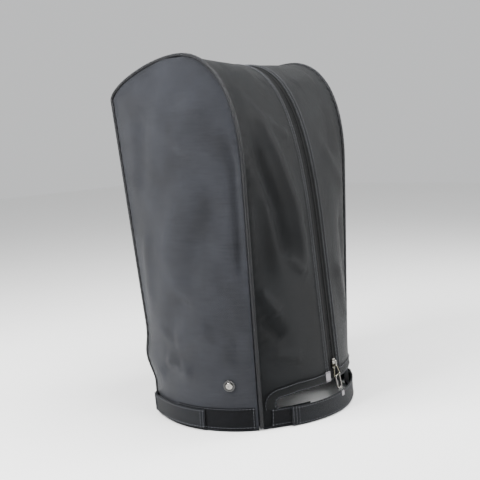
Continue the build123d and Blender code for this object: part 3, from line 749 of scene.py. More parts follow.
@dataclass(frozen=True)
class Cloth:
    """Woven fabric or tape, coated or bare."""

    name: str
    dark: str
    light: str
    roughness: float
    thread: float  # metres from one thread to the next
    relief: float  # metres
    sheen: float = 0.0
    coat: float = 0.0
    place: Place = Place.FABRIC
    rib: bool = False
    blotch: float = 0.05  # size of the colour's uneven patches in metres
    slub: float = 0.25
    gloss: float = 0.14  # specular level; a dull weave reflects less than a smooth surface

    def material(self) -> bpy.types.Material:
        """Material with a woven relief, uneven colour and slightly uneven roughness."""
        made = bpy.data.materials.new(self.name)
        made.use_nodes = True
        tree = made.node_tree
        shader = tree.nodes["Principled BSDF"]
        place = add_node(tree, "ShaderNodeTexCoord")
        where = place.outputs["UV" if self.place is Place.FABRIC else "Object"]
        body = place.outputs["Object"]
        parts = add_node(tree, "ShaderNodeSeparateXYZ", {0: where})
        per_metre = 2 * math.pi / self.thread
        waves = []
        for axis in (0, 1) if self.place is Place.FABRIC else (0, 2):
            factors = {0: parts.outputs[axis], 1: per_metre}
            scaled = add_node(tree, "ShaderNodeMath", factors, operation="MULTIPLY")
            wave = add_node(tree, "ShaderNodeMath", {0: scaled.outputs[0]}, operation="SINE")
            waves.append(wave.outputs[0])
        if self.rib:
            weave = add_node(tree, "ShaderNodeMath", {0: waves[1], 1: 1.0}, operation="MULTIPLY")
        else:
            weave = add_node(tree, "ShaderNodeMath", {0: waves[0], 1: waves[1]}, operation="MULTIPLY")
        slub = add_node(
            tree, "ShaderNodeTexNoise", {"Vector": body, "Scale": 1.0 / (self.thread * 2.2), "Detail": 3.0}
        )
        patch = add_node(
            tree,
            "ShaderNodeTexNoise",
            {"Vector": body, "Scale": 1.0 / self.blotch, "Detail": 4.0, "Roughness": 0.6},
        )
        stretched = add_node(
            tree, "ShaderNodeMapping", {"Vector": body, "Scale": (1.0, 1.0, 14.0)}, vector_type="POINT"
        )
        streak = add_node(
            tree, "ShaderNodeTexNoise", {"Vector": stretched.outputs[0], "Scale": 45.0, "Detail": 3.0}
        )
        slub_part = add_node(
            tree,
            "ShaderNodeMath",
            {0: slub.outputs["Fac"], 1: self.slub, 2: -self.slub / 2},
            operation="MULTIPLY_ADD",
        )
        weave_part = add_node(
            tree,
            "ShaderNodeMath",
            {0: weave.outputs[0], 1: 0.4, 2: slub_part.outputs[0]},
            operation="MULTIPLY_ADD",
        )
        patch_part = add_node(
            tree,
            "ShaderNodeMath",
            {0: patch.outputs["Fac"], 1: 1.6, 2: -0.68},
            operation="MULTIPLY_ADD",
        )
        patch_part = add_node(
            tree,
            "ShaderNodeMath",
            {0: streak.outputs["Fac"], 1: 0.75, 2: patch_part.outputs[0]},
            operation="MULTIPLY_ADD",
        )
        share = add_node(
            tree,
            "ShaderNodeMath",
            {0: patch_part.outputs[0], 1: weave_part.outputs[0]},
            operation="ADD",
            use_clamp=True,
        )
        colour = add_node(
            tree,
            "ShaderNodeMix",
            {0: share.outputs[0], 6: linear(self.dark), 7: linear(self.light)},
            data_type="RGBA",
        )
        height = add_node(
            tree, "ShaderNodeMath", {0: weave.outputs[0], 1: slub_part.outputs[0]}, operation="ADD"
        )
        relief = {"Height": height.outputs[0], "Distance": self.relief, "Strength": 1.0}
        bump = add_node(tree, "ShaderNodeBump", relief)
        gloss = add_node(
            tree,
            "ShaderNodeMapRange",
            {0: patch.outputs["Fac"], 3: self.roughness - 0.07, 4: self.roughness + 0.07},
        )
        tree.links.new(colour.outputs[2], shader.inputs["Base Color"])
        tree.links.new(gloss.outputs[0], shader.inputs["Roughness"])
        tree.links.new(bump.outputs[0], shader.inputs["Normal"])
        shader.inputs["Specular IOR Level"].default_value = self.gloss
        shader.inputs["Sheen Weight"].default_value = self.sheen
        shader.inputs["Sheen Roughness"].default_value = 0.45
        shader.inputs["Coat Weight"].default_value = self.coat
        shader.inputs["Coat Roughness"].default_value = 0.4
        return made


@dataclass(frozen=True)
class Metal:
    """Plated or painted metal, or a moulded plastic with the same kind of surface."""

    name: str
    colour: str
    metallic: float
    roughness: float
    grain: float  # size of its fine unevenness in metres
    relief: float
    # second colour mixed in by the fine noise: wear, and on the nickel finishes painted dark reflections
    wear_and_dark_reflection: str | None = None

    def material(self) -> bpy.types.Material:
        """Material with fine unevenness in its gloss and relief, and a second colour in patches if it has
        one: wear, and on the nickel finishes painted dark reflections.
        """
        made = bpy.data.materials.new(self.name)
        made.use_nodes = True
        tree = made.node_tree
        shader = tree.nodes["Principled BSDF"]
        place = add_node(tree, "ShaderNodeTexCoord")
        fine = add_node(
            tree,
            "ShaderNodeTexNoise",
            {"Vector": place.outputs["Object"], "Scale": 1.0 / self.grain, "Detail": 4.0},
        )
        gloss = add_node(
            tree,
            "ShaderNodeMapRange",
            {0: fine.outputs["Fac"], 3: max(self.roughness - 0.06, 0.03), 4: self.roughness + 0.08},
        )
        tone = add_node(
            tree,
            "ShaderNodeMix",
            {0: fine.outputs["Fac"], 6: linear(self.colour), 7: linear(self.wear_and_dark_reflection or self.colour)},
            data_type="RGBA",
        )
        bump = add_node(
            tree, "ShaderNodeBump", {"Height": fine.outputs["Fac"], "Distance": self.relief, "Strength": 0.6}
        )
        tree.links.new(tone.outputs[2], shader.inputs["Base Color"])
        tree.links.new(gloss.outputs[0], shader.inputs["Roughness"])
        tree.links.new(bump.outputs[0], shader.inputs["Normal"])
        shader.inputs["Metallic"].default_value = self.metallic
        return made


# Oxford weave in charcoal polyester, polyurethane coated: matt with a soft grey bloom on the lit side.
# Its threads are 0.5 mm apart; they are drawn 1.3 mm apart so that the weave shows.
SIDE_OXFORD = Cloth("side_oxford", "#17181c", "#2c2e34", 0.5, 1.3 * MM, 0.3 * MM, sheen=0.045, blotch=0.05)
# The gusset's Oxford is the sides' charcoal fabric drawn darker: painted shade.
GUSSET_OXFORD_PAINTED_SHADE = Cloth(
    "gusset_oxford_painted_shade", "#0a0b0c", "#17191b", 0.46, 1.3 * MM, 0.3 * MM,
    sheen=0.02, blotch=0.05, gloss=0.1,
)
PIPING_SLEEVE = Cloth(
    "piping_sleeve", "#070809", "#111217", 0.34, 1.2 * MM, 0.16 * MM,
    sheen=0.03, blotch=0.03, gloss=0.2,
)
# Polyurethane coating on the fabric's back: smooth and pale grey, so that it shows which side is in.
COATING = Cloth("grey_coating", "#a5a9ad", "#b9bcbf", 0.5, 1.3 * MM, 0.04 * MM, blotch=0.08)
# Folded grosgrain: cross ribs and a slightly lighter, duller face than the panels.
BINDING_TAPE = Cloth(
    "binding_tape", "#0d0e10", "#1c1e22", 0.62, 1.2 * MM, 0.25 * MM,
    sheen=0.03, rib=True, gloss=0.1,
)
ZIP_TAPE_WEAVE = Cloth(
    "zip_tape_weave", "#050506", "#0d0e0f", 0.6, 1.1 * MM, 0.2 * MM,
    sheen=0.015, rib=True, gloss=0.07,
)
# The straps' Oxford is drawn darker than the sides: painted shade of the hood's lower part.
STRAP_OXFORD_PAINTED_SHADE = Cloth(
    "strap_oxford_painted_shade", "#0c0d0f", "#181a1e", 0.56, 1.3 * MM, 0.25 * MM,
    sheen=0.03, blotch=0.04, gloss=0.1,
)
# The slot facing's Oxford is drawn darker like the gusset: painted shade of the front.
FACING_OXFORD_PAINTED_SHADE = Cloth(
    "facing_oxford_painted_shade", "#08090a", "#131516", 0.56, 1.3 * MM, 0.25 * MM,
    sheen=0.02, blotch=0.05, gloss=0.1,
)
# Loop pile: nothing but fuzz, so it is darker and has no gloss of its own.
LOOP_PILE = Cloth(
    "loop_pile", "#07080a", "#101216", 0.95, 0.9 * MM, 0.5 * MM,
    sheen=0.04, slub=0.9, blotch=0.012, gloss=0.05,
)
WOVEN_RIBBON = Cloth("woven_ribbon", "#6d6a6e", "#9b979b", 0.6, 1.0 * MM, 0.14 * MM, sheen=0.2, rib=True)
THREAD = Cloth(
    "stitch_thread", "#2b2c30", "#45474d", 0.45, 0.6 * MM, 0.05 * MM,
    sheen=0.2, place=Place.OBJECT,
)
HOOK_TAPE = Metal("hook_tape_nylon", "#141517", 0.0, 0.45, 1.2 * MM, 0.5 * MM, "#1f2123")
COIL_NYLON = Metal("coil_nylon", "#070708", 0.0, 0.28, 3.0 * MM, 0.02 * MM, "#0e0e10")
# Bright nickel on die-cast zinc: a mirror with a slightly wavy cast skin. Its colour is darkened and mottled
# with darker patches: painted dark reflections.
BRIGHT_NICKEL = Metal("bright_nickel", "#8f8d88", 1.0, 0.1, 2.5 * MM, 0.22 * MM, "#4a4945")
# Stud nickel, darkened and mottled with darker patches like the bright nickel: painted dark reflections.
STUD_NICKEL = Metal("stud_nickel", "#a5a39e", 1.0, 0.14, 1.5 * MM, 0.3 * MM, "#3e3c39")
BLACK_NICKEL = Metal("black_nickel", "#6d6a5d", 1.0, 0.2, 2.0 * MM, 0.06 * MM, "#4f4d43")
BLACK_ENAMEL = Metal("black_enamel", "#0a0a0b", 0.0, 0.25, 4.0 * MM, 0.02 * MM, "#121314")
PALE_FLOOR = Metal("pale_floor", "#f6f6f5", 0.0, 0.75, 60 * MM, 0.05 * MM, "#f3f3f2")


class Finishes:
    """The hood's materials, each made once."""

    def __init__(self) -> None:
        """Starts with nothing made."""
        self.made: dict[str, bpy.types.Material] = {}

    def get(self, finish: Cloth | Metal) -> bpy.types.Material:
        """The material of a finish."""
        if finish.name not in self.made:
            self.made[finish.name] = finish.material()
        return self.made[finish.name]


FINISHES = Finishes()


def dress(
    obj: bpy.types.Object, finish: Cloth | Metal, body: str, replaces: Sequence[str] = ()
) -> bpy.types.Object:
    """Gives a piece its finish, its body and the CAD nodes that it stands for."""
    if obj.data.materials:
        obj.data.materials[0] = FINISHES.get(finish)
    else:
        obj.data.materials.append(FINISHES.get(finish))
    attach(obj, body)
    if replaces:
        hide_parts(*replaces)
    log.info("%s: %d faces", obj.name, len(obj.data.polygons))
    return obj


def dress_node(node: str, finish: Cloth | Metal) -> None:
    """Gives a CAD node its finish."""
    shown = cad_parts[node]
    for place in shown.material_slots:
        place.material = FINISHES.get(finish)
    log.info("%s dressed", node)


# ---------------------------------------------------------------------------------------------------------
# Sub-assemblies
# ---------------------------------------------------------------------------------------------------------


@dataclass
class SidePanels:
    """Left and right panels with their piping and hems."""

    rows: int = 230
    columns: int = 150
    inset: float = PANEL_INSET

    def grid(self, surface: SideSurface) -> tuple[np.ndarray, np.ndarray]:
        """Values of y and z over a panel. Heights follow 1 - (1-s)^2, so that rows are close at the crown."""
        share = np.linspace(0.0, 1.0, self.rows)
        top = surface.top - self.inset
        z = 0.6 * MM + (top - 0.6 * MM) * (1 - (1 - share) ** 2)
        front, back = surface.span(z, self.inset)
        column = np.linspace(0.0, 1.0, self.columns)
        y = front[:, None] + (back - front)[:, None] * column[None, :]
        return y, np.broadcast_to(z[:, None], y.shape)

    def build_panel(self, side: int) -> None:
        """Builds one panel."""
        word = SIDE_WORD[side]
        surface = SideSurface(side)
        y, z = self.grid(surface)
        points = surface.at(y, z)
        if side < 0:
            points = points[:, ::-1]
        panel = shell(f"side_fabric_{word}", points, SKIN, lined=True)
        outward(panel)
        dress(panel, SIDE_OXFORD, "hood", [f"side_panel_{word}"])

    def build_piping(self, side: int) -> None:
        """Builds the piping: a cord in a sleeve, round with a slight unevenness where the sleeve gathers."""
        word = SIDE_WORD[side]
        front, crown, back = np.linspace(0, 1, 90), np.linspace(0, 2, 260), np.linspace(0, 1, 110)
        t = np.concatenate([front, 1 + crown[1:], 3 + back[1:]])
        path = seam_point(side, t)
        path = path[(path[:, 2] > 0.2 * MM)]
        middle = np.array([side * (BASE_HALF_WIDTH - 0.06), 0.0, 0.20])
        up = path - middle
        path, up = resampled(slumped(path), up / np.linalg.norm(up, axis=-1, keepdims=True), 2.2 * MM)
        turn = np.arange(16) * 2 * math.pi / 16
        gather = 1 + 0.03 * np.sin(np.arange(len(path)) * 1.9)[:, None]
        gather = gather + 0.03 * ripple(path, 0.03, 3)[:, None]
        ring = PIPING_RADIUS * 1.02 * gather
        profile = np.stack([ring * np.cos(turn), ring * np.sin(turn)], axis=-1)
        cord = swept(f"piping_sleeve_{word}", path, up, profile)
        dress(cord, PIPING_SLEEVE, "hood", [f"piping_{word}"])

    def build_hem(self, side: int) -> None:
        """Builds the binding folded over the panel's lower edge."""
        word = SIDE_WORD[side]
        surface = SideSurface(side)
        front, back = surface.span(np.array(0.0), self.inset + 0.2 * MM)
        y = np.linspace(float(front), float(back), 140)
        middle = np.full_like(y, HEM_HEIGHT / 2)
        hem = hem_roll(f"side_hem_{word}", surface.base(y, middle) - surface.normal(y, middle) * (FABRIC / 2))
        dress(hem, BINDING_TAPE, "hood", [f"hem_binding_{word}"])

    def build(self) -> None:
        """Builds everything on both sides."""
        for side in (-1, 1):
            self.build_panel(side)
            self.build_piping(side)
            self.build_hem(side)


def hem_roll(name: str, centre: np.ndarray) -> bpy.types.Object:
    """Folded binding: a flattened ring profile, 3 mm high, carried along the rim.

    Args:
        name: The object's name.
        centre: Path half way up the binding, in the middle of the fabric.
    """
    turn = np.linspace(0, 2 * math.pi, 24, endpoint=False)
    wide = 1.35 * MM
    tall = HEM_HEIGHT / 2
    power = 0.55  # below 1, so that the ring is squarer than an ellipse
    across = wide * np.sign(np.cos(turn)) * np.abs(np.cos(turn)) ** power
    up = tall * np.sign(np.sin(turn)) * np.abs(np.sin(turn)) ** power
    rise = np.broadcast_to(np.array([0.0, 0.0, 1.0]), centre.shape)
    return swept(name, centre, rise, np.stack([across, up], axis=-1))


SLOT_OUTLINE = np.array(
    [[-92.5, 25.0], [92.5, 25.0], [92.5, 37.0], [66.0, 41.5], [0.0, 42.5], [-66.0, 41.5], [-92.5, 37.0]]
)
SLOT_ROUNDS = (5.0, 5.0, 5.5, 14.0, 60.0, 14.0, 5.5)
LANDING_LEFT = -50 * MM
LANDING_RIGHT = 78 * MM
RIM_T = 0.0025  # the band's first row of points, just above the rim


@dataclass
class Gusset:
    """Front halves beside the zip, the back, the facing of the handle slot and the front hems."""

    surface: GussetSurface
    rows: int = 320
    columns: int = 84
    fold_lift: float = 0.45 * MM

    def front_grid(self, side: int) -> np.ndarray:
        """Outer face of a front half, from its piped seam to its folded edge beside the zip."""
        column = np.linspace(0.0, 1.0, self.columns)
        share = np.linspace(0.0, 1.0, self.rows)
        end = self.surface.reach(np.full(self.columns, side * 0.5), ZIP_BACK_Y)
        t = RIM_T + share[:, None] * (end[None, :] - RIM_T)
        fold_edge = FOLD_EDGE[side]
        edge = fold_edge / self.surface.half_width(t)
        u = side * (1 - column[None, :] * (1 - edge))
        end = self.surface.reach(u[-1], ZIP_BACK_Y)
        t = RIM_T + share[:, None] * (end[None, :] - RIM_T)
        points = self.surface.at(u, t)
        gap = np.abs(points[..., 0]) - fold_edge
        roll = self.fold_lift * smooth(9.5 * MM, 7.5 * MM, gap) - 0.6 * MM * smooth(1.0 * MM, 0.0, gap)
        first_row, second_row = (np.exp(-(((gap - row) / (0.7 * MM)) ** 2)) for row in STITCH_ROWS)
        groove = -0.22 * MM * (first_row + second_row)
        pucker = 0.30 * MM * np.sin(2 * math.pi * points[..., 2] / 0.0105 + 3 * ripple(points, 0.05, 31))
        pucker = pucker * np.exp(-(((gap - 5 * MM) / (4.5 * MM)) ** 2))
        height = roll + groove + pucker - pull_sink(points[..., 0])
        return points + self.surface.normal(u, t) * height[..., None]

    def build_front(self, side: int) -> None:
        """Builds one front half and cuts the handle slot out of it."""
        word = SIDE_WORD[side]
        points = self.front_grid(side)
        if side > 0:
            points = points[:, ::-1]
        panel = shell(f"front_fabric_{word}", points, SKIN, lined=True)
        outward(panel)
        slot = prism("slot_cutter", rounded_outline(SLOT_OUTLINE, SLOT_ROUNDS) * MM, -0.2, -0.04)
        low, high = -10 * MM, 27 * MM
        left, right = LANDING_LEFT, LANDING_RIGHT
        gap = np.array([[left, low], [right, low], [right, high], [left, high]])
        under = prism("gap_cutter", gap, -0.2, -0.04)
        carve(panel, [slot, under])
        dress(panel, GUSSET_OXFORD_PAINTED_SHADE, "hood", [f"gusset_front_{word}"])

    def build_back(self) -> None:
        """Builds the back, from the end of the zip to the rim."""
        u = np.linspace(-1.0, 1.0, 180)
        start = self.surface.reach(u, ZIP_BACK_Y - 0.5 * MM)
        share = np.linspace(0.0, 1.0, 230)[:, None]
        t = start[None, :] + (3.9965 - start[None, :]) * share
        points = self.surface.at(np.broadcast_to(u[None, :], t.shape), t, 0.3 * MM)
        panel = shell("back_fabric", points, SKIN, lined=True)
        outward(panel)
        dress(panel, GUSSET_OXFORD_PAINTED_SHADE, "hood", ["gusset_back"])

    def build_hems(self) -> None:
        """Builds the bindings over the rim at the back and beside the front opening."""
        u = np.linspace(-0.998, 0.998, 190)
        low_back = np.full_like(u, 4 - HEM_HEIGHT / 2 / 0.41)
        normal = self.surface.normal(u, low_back)
        centre = self.surface.base(u, low_back) - normal * FABRIC / 2
        dress(hem_roll("back_hem", centre), BINDING_TAPE, "hood", ["hem_binding_back"])
        edge = self.surface.half_width_at(np.array(0.0)) - 0.3 * MM
        for word, start, end in (("left", -edge, LANDING_LEFT), ("right", LANDING_RIGHT, edge)):
            x = np.linspace(float(start), float(end), 60)
            middle = np.full_like(x, HEM_HEIGHT / 2)
            normal = self.surface.front_normal(x, middle)
            centre = self.surface.front(x, middle) - normal * FABRIC / 2
            hem = hem_roll(f"front_hem_{word}", centre)
            dress(hem, BINDING_TAPE, "hood", [f"hem_binding_front_{word}"])

    def build_facing(self) -> None:
        """Builds the facing round the slot's upper edge, in two halves, with its outer edge turned under."""
        outline = rounded_outline(SLOT_OUTLINE, SLOT_ROUNDS, 10) * MM
        low = 25.0 * MM
        keep = outline[:, 1] > low + 0.2 * MM
        inner = outline[keep]
        order = np.argsort(-np.unwrap(np.arctan2(inner[:, 1] - low, inner[:, 0])))
        inner = inner[order]
        inner = np.concatenate([[[inner[0, 0], low]], inner, [[inner[-1, 0], low]]])
        for word, side in (("left", -1), ("right", 1)):
            half = inner[inner[:, 0] * side > 0]
            edge = np.array([[side * ZIP_WINDOW / 2, 42.4 * MM]])
            half = np.concatenate([half, edge]) if side < 0 else np.concatenate([edge, half])
            half = self.by_length(half)
            gaps = np.linalg.norm(np.diff(half, axis=0), axis=-1)
            length = np.concatenate([[0.0], np.cumsum(gaps)])
            places = np.linspace(0.0, length[-1], 110)
            line = np.stack([np.interp(places, length, half[:, k]) for k in (0, 1)], axis=-1)
            slope = np.gradient(line, axis=0)
            slope /= np.linalg.norm(slope, axis=-1, keepdims=True)
            away = np.stack([-slope[:, 1], slope[:, 0]], axis=-1) * (1 if side < 0 else -1)
            width = np.linspace(0.0, 12.6 * MM, 16)
            flat = line[:, None] + away[:, None] * width[None, :, None]
            x = side * np.maximum(side * flat[..., 0], ZIP_WINDOW / 2)
            z = np.maximum(flat[..., 1], low)
            out = 0.75 * MM - 0.5 * MM * smooth(1.2 * MM, 0.0, width)
            out = out - 0.45 * MM * smooth(11.2 * MM, 12.6 * MM, width)
            points = self.surface.front(x, z) + self.surface.front_normal(x, z) * out[None, :, None]
            points = points[:, ::-1] if side < 0 else points
            band = shell(f"slot_facing_band_{word}", points, 0.55 * MM)
            outward(band)
            dress(band, FACING_OXFORD_PAINTED_SHADE, "hood", [f"slot_facing_{word}"])
            rows = []
            for offset in (1.8 * MM, 11.4 * MM):
                flat_row = line + away * offset
                inside = (flat_row[:, 1] > low) & (np.abs(flat_row[:, 0]) > ZIP_WINDOW / 2 + 1 * MM)
                row = flat_row[inside]
                normal = self.surface.front_normal(row[:, 0], row[:, 1])
                rows.append((self.surface.front(row[:, 0], row[:, 1]) + normal * 0.75 * MM, normal))
            dress(stitches(f"facing_stitches_{word}", rows), THREAD, "hood")

    @staticmethod
    def by_length(points: np.ndarray) -> np.ndarray:
        """Outline points in order from the slot's end to the zip."""
        end_x = points[np.argmax(np.abs(points[:, 0]))][0]
        angle = np.arctan2(points[:, 1] - 20 * MM, np.abs(points[:, 0]) - abs(end_x) + 14 * MM)
        return points[np.argsort(angle)]

    def build(self) -> None:
        """Builds the whole band."""
        for side in (-1, 1):
            self.build_front(side)
        self.build_back()
        self.build_hems()
        self.build_facing()


@dataclass
class Zip:
    """Tapes, coils, stops and the rows of stitches beside the zip."""

    surface: GussetSurface
    gap: float = 0.8 * MM  # drawn slit between the tapes
    tape_edge: float = 16 * MM
    tape_top: float = 1.75 * MM  # the tape's face below the fabric's, under the slider
    tape_rise: float = 0.8 * MM  # how much higher the tape lies under the folded edges
    coil_turn: float = 1.6 * MM  # from tooth to tooth

    def line(self, x: float, start_z: float, out: float, count: int = 420) -> tuple[np.ndarray, np.ndarray]:
        """Line along the zip at an x, from a height on the front to its back end, and the normals."""
        half = self.surface.half_width(np.linspace(0, 2, 5)).mean()
        _, first = self.surface.front_place(np.array([x]), np.array([start_z]))
        last = self.surface.reach(np.array([x / half]), ZIP_BACK_Y - 1 * MM)
        t = np.linspace(float(first[0]), float(last[0]), count)
        u = x / self.surface.half_width(t)
        normal = self.surface.normal(u, t)
        return self.surface.base(u, t) + normal * out, normal

    def build_tape(self, side: int) -> None:
        """Builds one tape, with the woven rib along its inner edge."""
        word = SIDE_WORD[side]
        x = np.linspace(self.gap / 2, self.tape_edge, 30)
        columns = []
        for across in x:
            bead = 0.3 * MM * np.exp(-(((across - 1.9 * MM) / (0.7 * MM)) ** 2))
            roll = -0.5 * MM * np.exp(-(((across - self.gap / 2) / (0.5 * MM)) ** 2))
            rise = self.tape_rise * float(smooth(6.8 * MM, 9.6 * MM, np.array(across)))
            line, _ = self.line(side * across, 43.5 * MM, -self.tape_top + bead + roll + rise, 520)
            columns.append(line)
        points = np.stack(columns, axis=1)
        if side < 0:
            points = points[:, ::-1]
        tape = shell(f"zip_tape_band_{word}", points, 0.7 * MM)
        outward(tape)
        dress(tape, ZIP_TAPE_WEAVE, "hood", [f"zip_tape_{word}"])

    def build_coil(self, side: int) -> None:
        """Builds one coil: a flattened helix with one turn for each tooth, five points a ring."""
        word = SIDE_WORD[side]
        centre, normal = self.line(side * 2.0 * MM, 58 * MM, -self.tape_top - 1.7 * MM)
        length = np.linalg.norm(np.diff(centre, axis=0), axis=-1).sum()
        turns = int(length / self.coil_turn)
        centre, normal = resampled(centre, normal, length / (turns * 10))
        _, beside, above = frames_along(centre, normal)
        angle = np.arange(len(centre)) * 2 * math.pi / 10 + (0.0 if side < 0 else math.pi)
        path = (
            centre
            + beside * (1.0 * MM * np.cos(angle))[:, None]
            + above * (0.62 * MM * np.sin(angle))[:, None]
        )
        ring = np.arange(5) * 2 * math.pi / 5
        wire = 0.3 * MM
        profile = np.stack([wire * np.cos(ring), wire * np.sin(ring)], axis=-1)
        coil = swept(f"zip_coil_helix_{word}", path, normal, profile)
        dress(coil, COIL_NYLON, "hood", [f"zip_coil_{word}"])

    def build_stitches(self) -> None:
        """Builds two rows of topstitching along each folded edge."""
        for word, side in (("left", -1), ("right", 1)):
            rows = []
            for away in STITCH_ROWS:
                x = side * (FOLD_EDGE[side] + away)
                line, normal = self.line(x, STITCH_START, 0.0)
                rise = 0.30 * MM + self.surface.lift(line) - pull_sink(line[:, 0])
                rows.append((line + normal * rise[:, None], normal))
            dress(stitches(f"zip_stitches_{word}", rows), THREAD, "hood")

    def build(self) -> None:
        """Builds the zip and dresses its metal."""
        for side in (-1, 1):
            self.build_tape(side)
            self.build_coil(side)
        self.build_stitches()
        for node in ("zip_front_stops", "zip_back_stop", "slider_body", "slider_bridge", "pull_loop"):
            dress_node(node, BRIGHT_NICKEL)
        dress_node("pull_link", BLACK_NICKEL)


@dataclass
class FrontStrap:
    """Strap across the handle slot, with its patches, end hem, tab and sewn root."""

    surface: GussetSurface
    low: float = 0.4 * MM
    high: float = 24.8 * MM
    end: float = -76.6 * MM
    hinge: float = 80.0 * MM
    root_end: float = 97.0 * MM
    inner: float = 2.5 * MM  # the strap's inner face, outwards from the fabric
    thickness: float = 1.5 * MM

    def band(
        self,
        x_range: tuple[float, float],
        z_range: tuple[float, float],
        out: float,
        thickness: float,
        name: str,
    ) -> bpy.types.Object:
        """Flat band on the front between limits of x and z, rounded a little at its edges."""
        x = np.linspace(*x_range, max(12, int((x_range[1] - x_range[0]) / (1.6 * MM))))
        share = np.linspace(0.0, 1.0, 22)
        z = z_range[0] + (z_range[1] - z_range[0]) * share
        grid_x, grid_z = np.meshgrid(x, z)
        from_edge = np.minimum(grid_z - z_range[0], z_range[1] - grid_z)
        from_end = np.minimum(grid_x - x_range[0], x_range[1] - grid_x)
        soften = 0.35 * thickness * (np.exp(-from_edge / (0.8 * MM)) + np.exp(-from_end / (0.8 * MM)))
        wave = 0.16 * MM * ripple(np.stack([grid_x, grid_x * 0, grid_z], axis=-1), 0.03, 14)
        normal = self.surface.front_normal(grid_x, grid_z)
        base = self.surface.front(grid_x, grid_z)
        points = base + normal * (out - soften + np.minimum(wave, 0.0) * (thickness > 1 * MM))[..., None]
        return shell(name, points, thickness * 0.94)

    def stitch_rows(
        self, x_range: tuple[float, float], z_range: tuple[float, float], out: float, inset: float
    ) -> list[tuple[np.ndarray, np.ndarray]]:
        """Four rows of stitches inside the edges of a band."""
        left, right = x_range[0] + inset, x_range[1] - inset
        low, high = z_range[0] + inset, z_range[1] - inset
        runs = (
            ((left, right), (low, low)),
            ((left, right), (high, high)),
            ((left, left), (low, high)),
            ((right, right), (low, high)),
        )
        rows = []
        for x_run, z_run in runs:
            x = np.linspace(*x_run, 40)
            z = np.linspace(*z_run, 40)
            normal = self.surface.front_normal(x, z)
            rows.append((self.surface.front(x, z) + normal * out, normal))
        return rows

    def build(self) -> None:
        """Builds the strap and what is on it."""
        heights = (self.low, self.high)
        outer = self.inner + self.thickness
        span = (self.end, self.hinge - 0.3 * MM)
        strap = self.band(span, heights, outer, self.thickness, "front_strap_band")
        outward(strap)
        dress(strap, STRAP_OXFORD_PAINTED_SHADE, "front_strap", ["front_strap"])
        rows = self.stitch_rows((self.end + 6 * MM, self.hinge), heights, outer - 0.02 * MM, 2.2 * MM)
        dress(stitches("front_strap_stitches", rows), THREAD, "front_strap")

        hem = self.band(
            (self.end - 0.6 * MM, self.end + 6 * MM),
            heights,
            outer + 0.6 * MM,
            self.thickness + 1.1 * MM,
            "front_strap_end_hem",
        )
        outward(hem)
        dress(hem, BINDING_TAPE, "front_strap", ["front_strap_hem"])
        hem_span = (self.end - 0.6 * MM, self.end + 6 * MM)
        rows = self.stitch_rows(hem_span, heights, outer + 0.55 * MM, 1.6 * MM)
        dress(stitches("front_strap_hem_stitches", rows[2:]), THREAD, "front_strap")

        root_span = (self.hinge, self.root_end)
        root = self.band(root_span, heights, outer, outer - 0.75 * MM, "front_strap_sewn_root")
        outward(root)
        dress(root, STRAP_OXFORD_PAINTED_SHADE, "hood", ["front_strap_root"])
        rows = self.stitch_rows((self.hinge, self.root_end), heights, outer - 0.02 * MM, 2.4 * MM)
        dress(stitches("front_root_stitches", rows), THREAD, "hood")

        patch_x, patch_z = (-98 * MM, -53 * MM), (3.3 * MM, 24.7 * MM)
        patch = self.band(patch_x, patch_z, 1.1 * MM, 1.0 * MM, "front_loop_pile")
        outward(patch)
        dress(patch, LOOP_PILE, "hood", ["front_loop_patch"])
        rows = self.stitch_rows(patch_x, patch_z, 1.0 * MM, 1.4 * MM)
        dress(stitches("front_pile_stitches", rows), THREAD, "hood")

        tab_x, tab_z = (5 * MM, 11 * MM), (17.7 * MM, 24.0 * MM)
        tab = self.band(tab_x, tab_z, outer + 0.7 * MM, 0.6 * MM, "strap_woven_tab")
        outward(tab)
        dress(tab, WOVEN_RIBBON, "front_strap", ["strap_tab"])
        dress_node("front_strap_hook", HOOK_TAPE)

        label = self.band((-22 * MM, -13 * MM), (43 * MM, 56 * MM), 1.55 * MM, 0.6 * MM, "woven_side_label")
        outward(label)
        dress(label, WOVEN_RIBBON, "hood", ["woven_label"])
        rows = self.stitch_rows((-22 * MM, -13 * MM), (43 * MM, 56 * MM), 1.5 * MM, 1.2 * MM)
        dress(stitches("label_stitches", rows[:2]), THREAD, "hood")


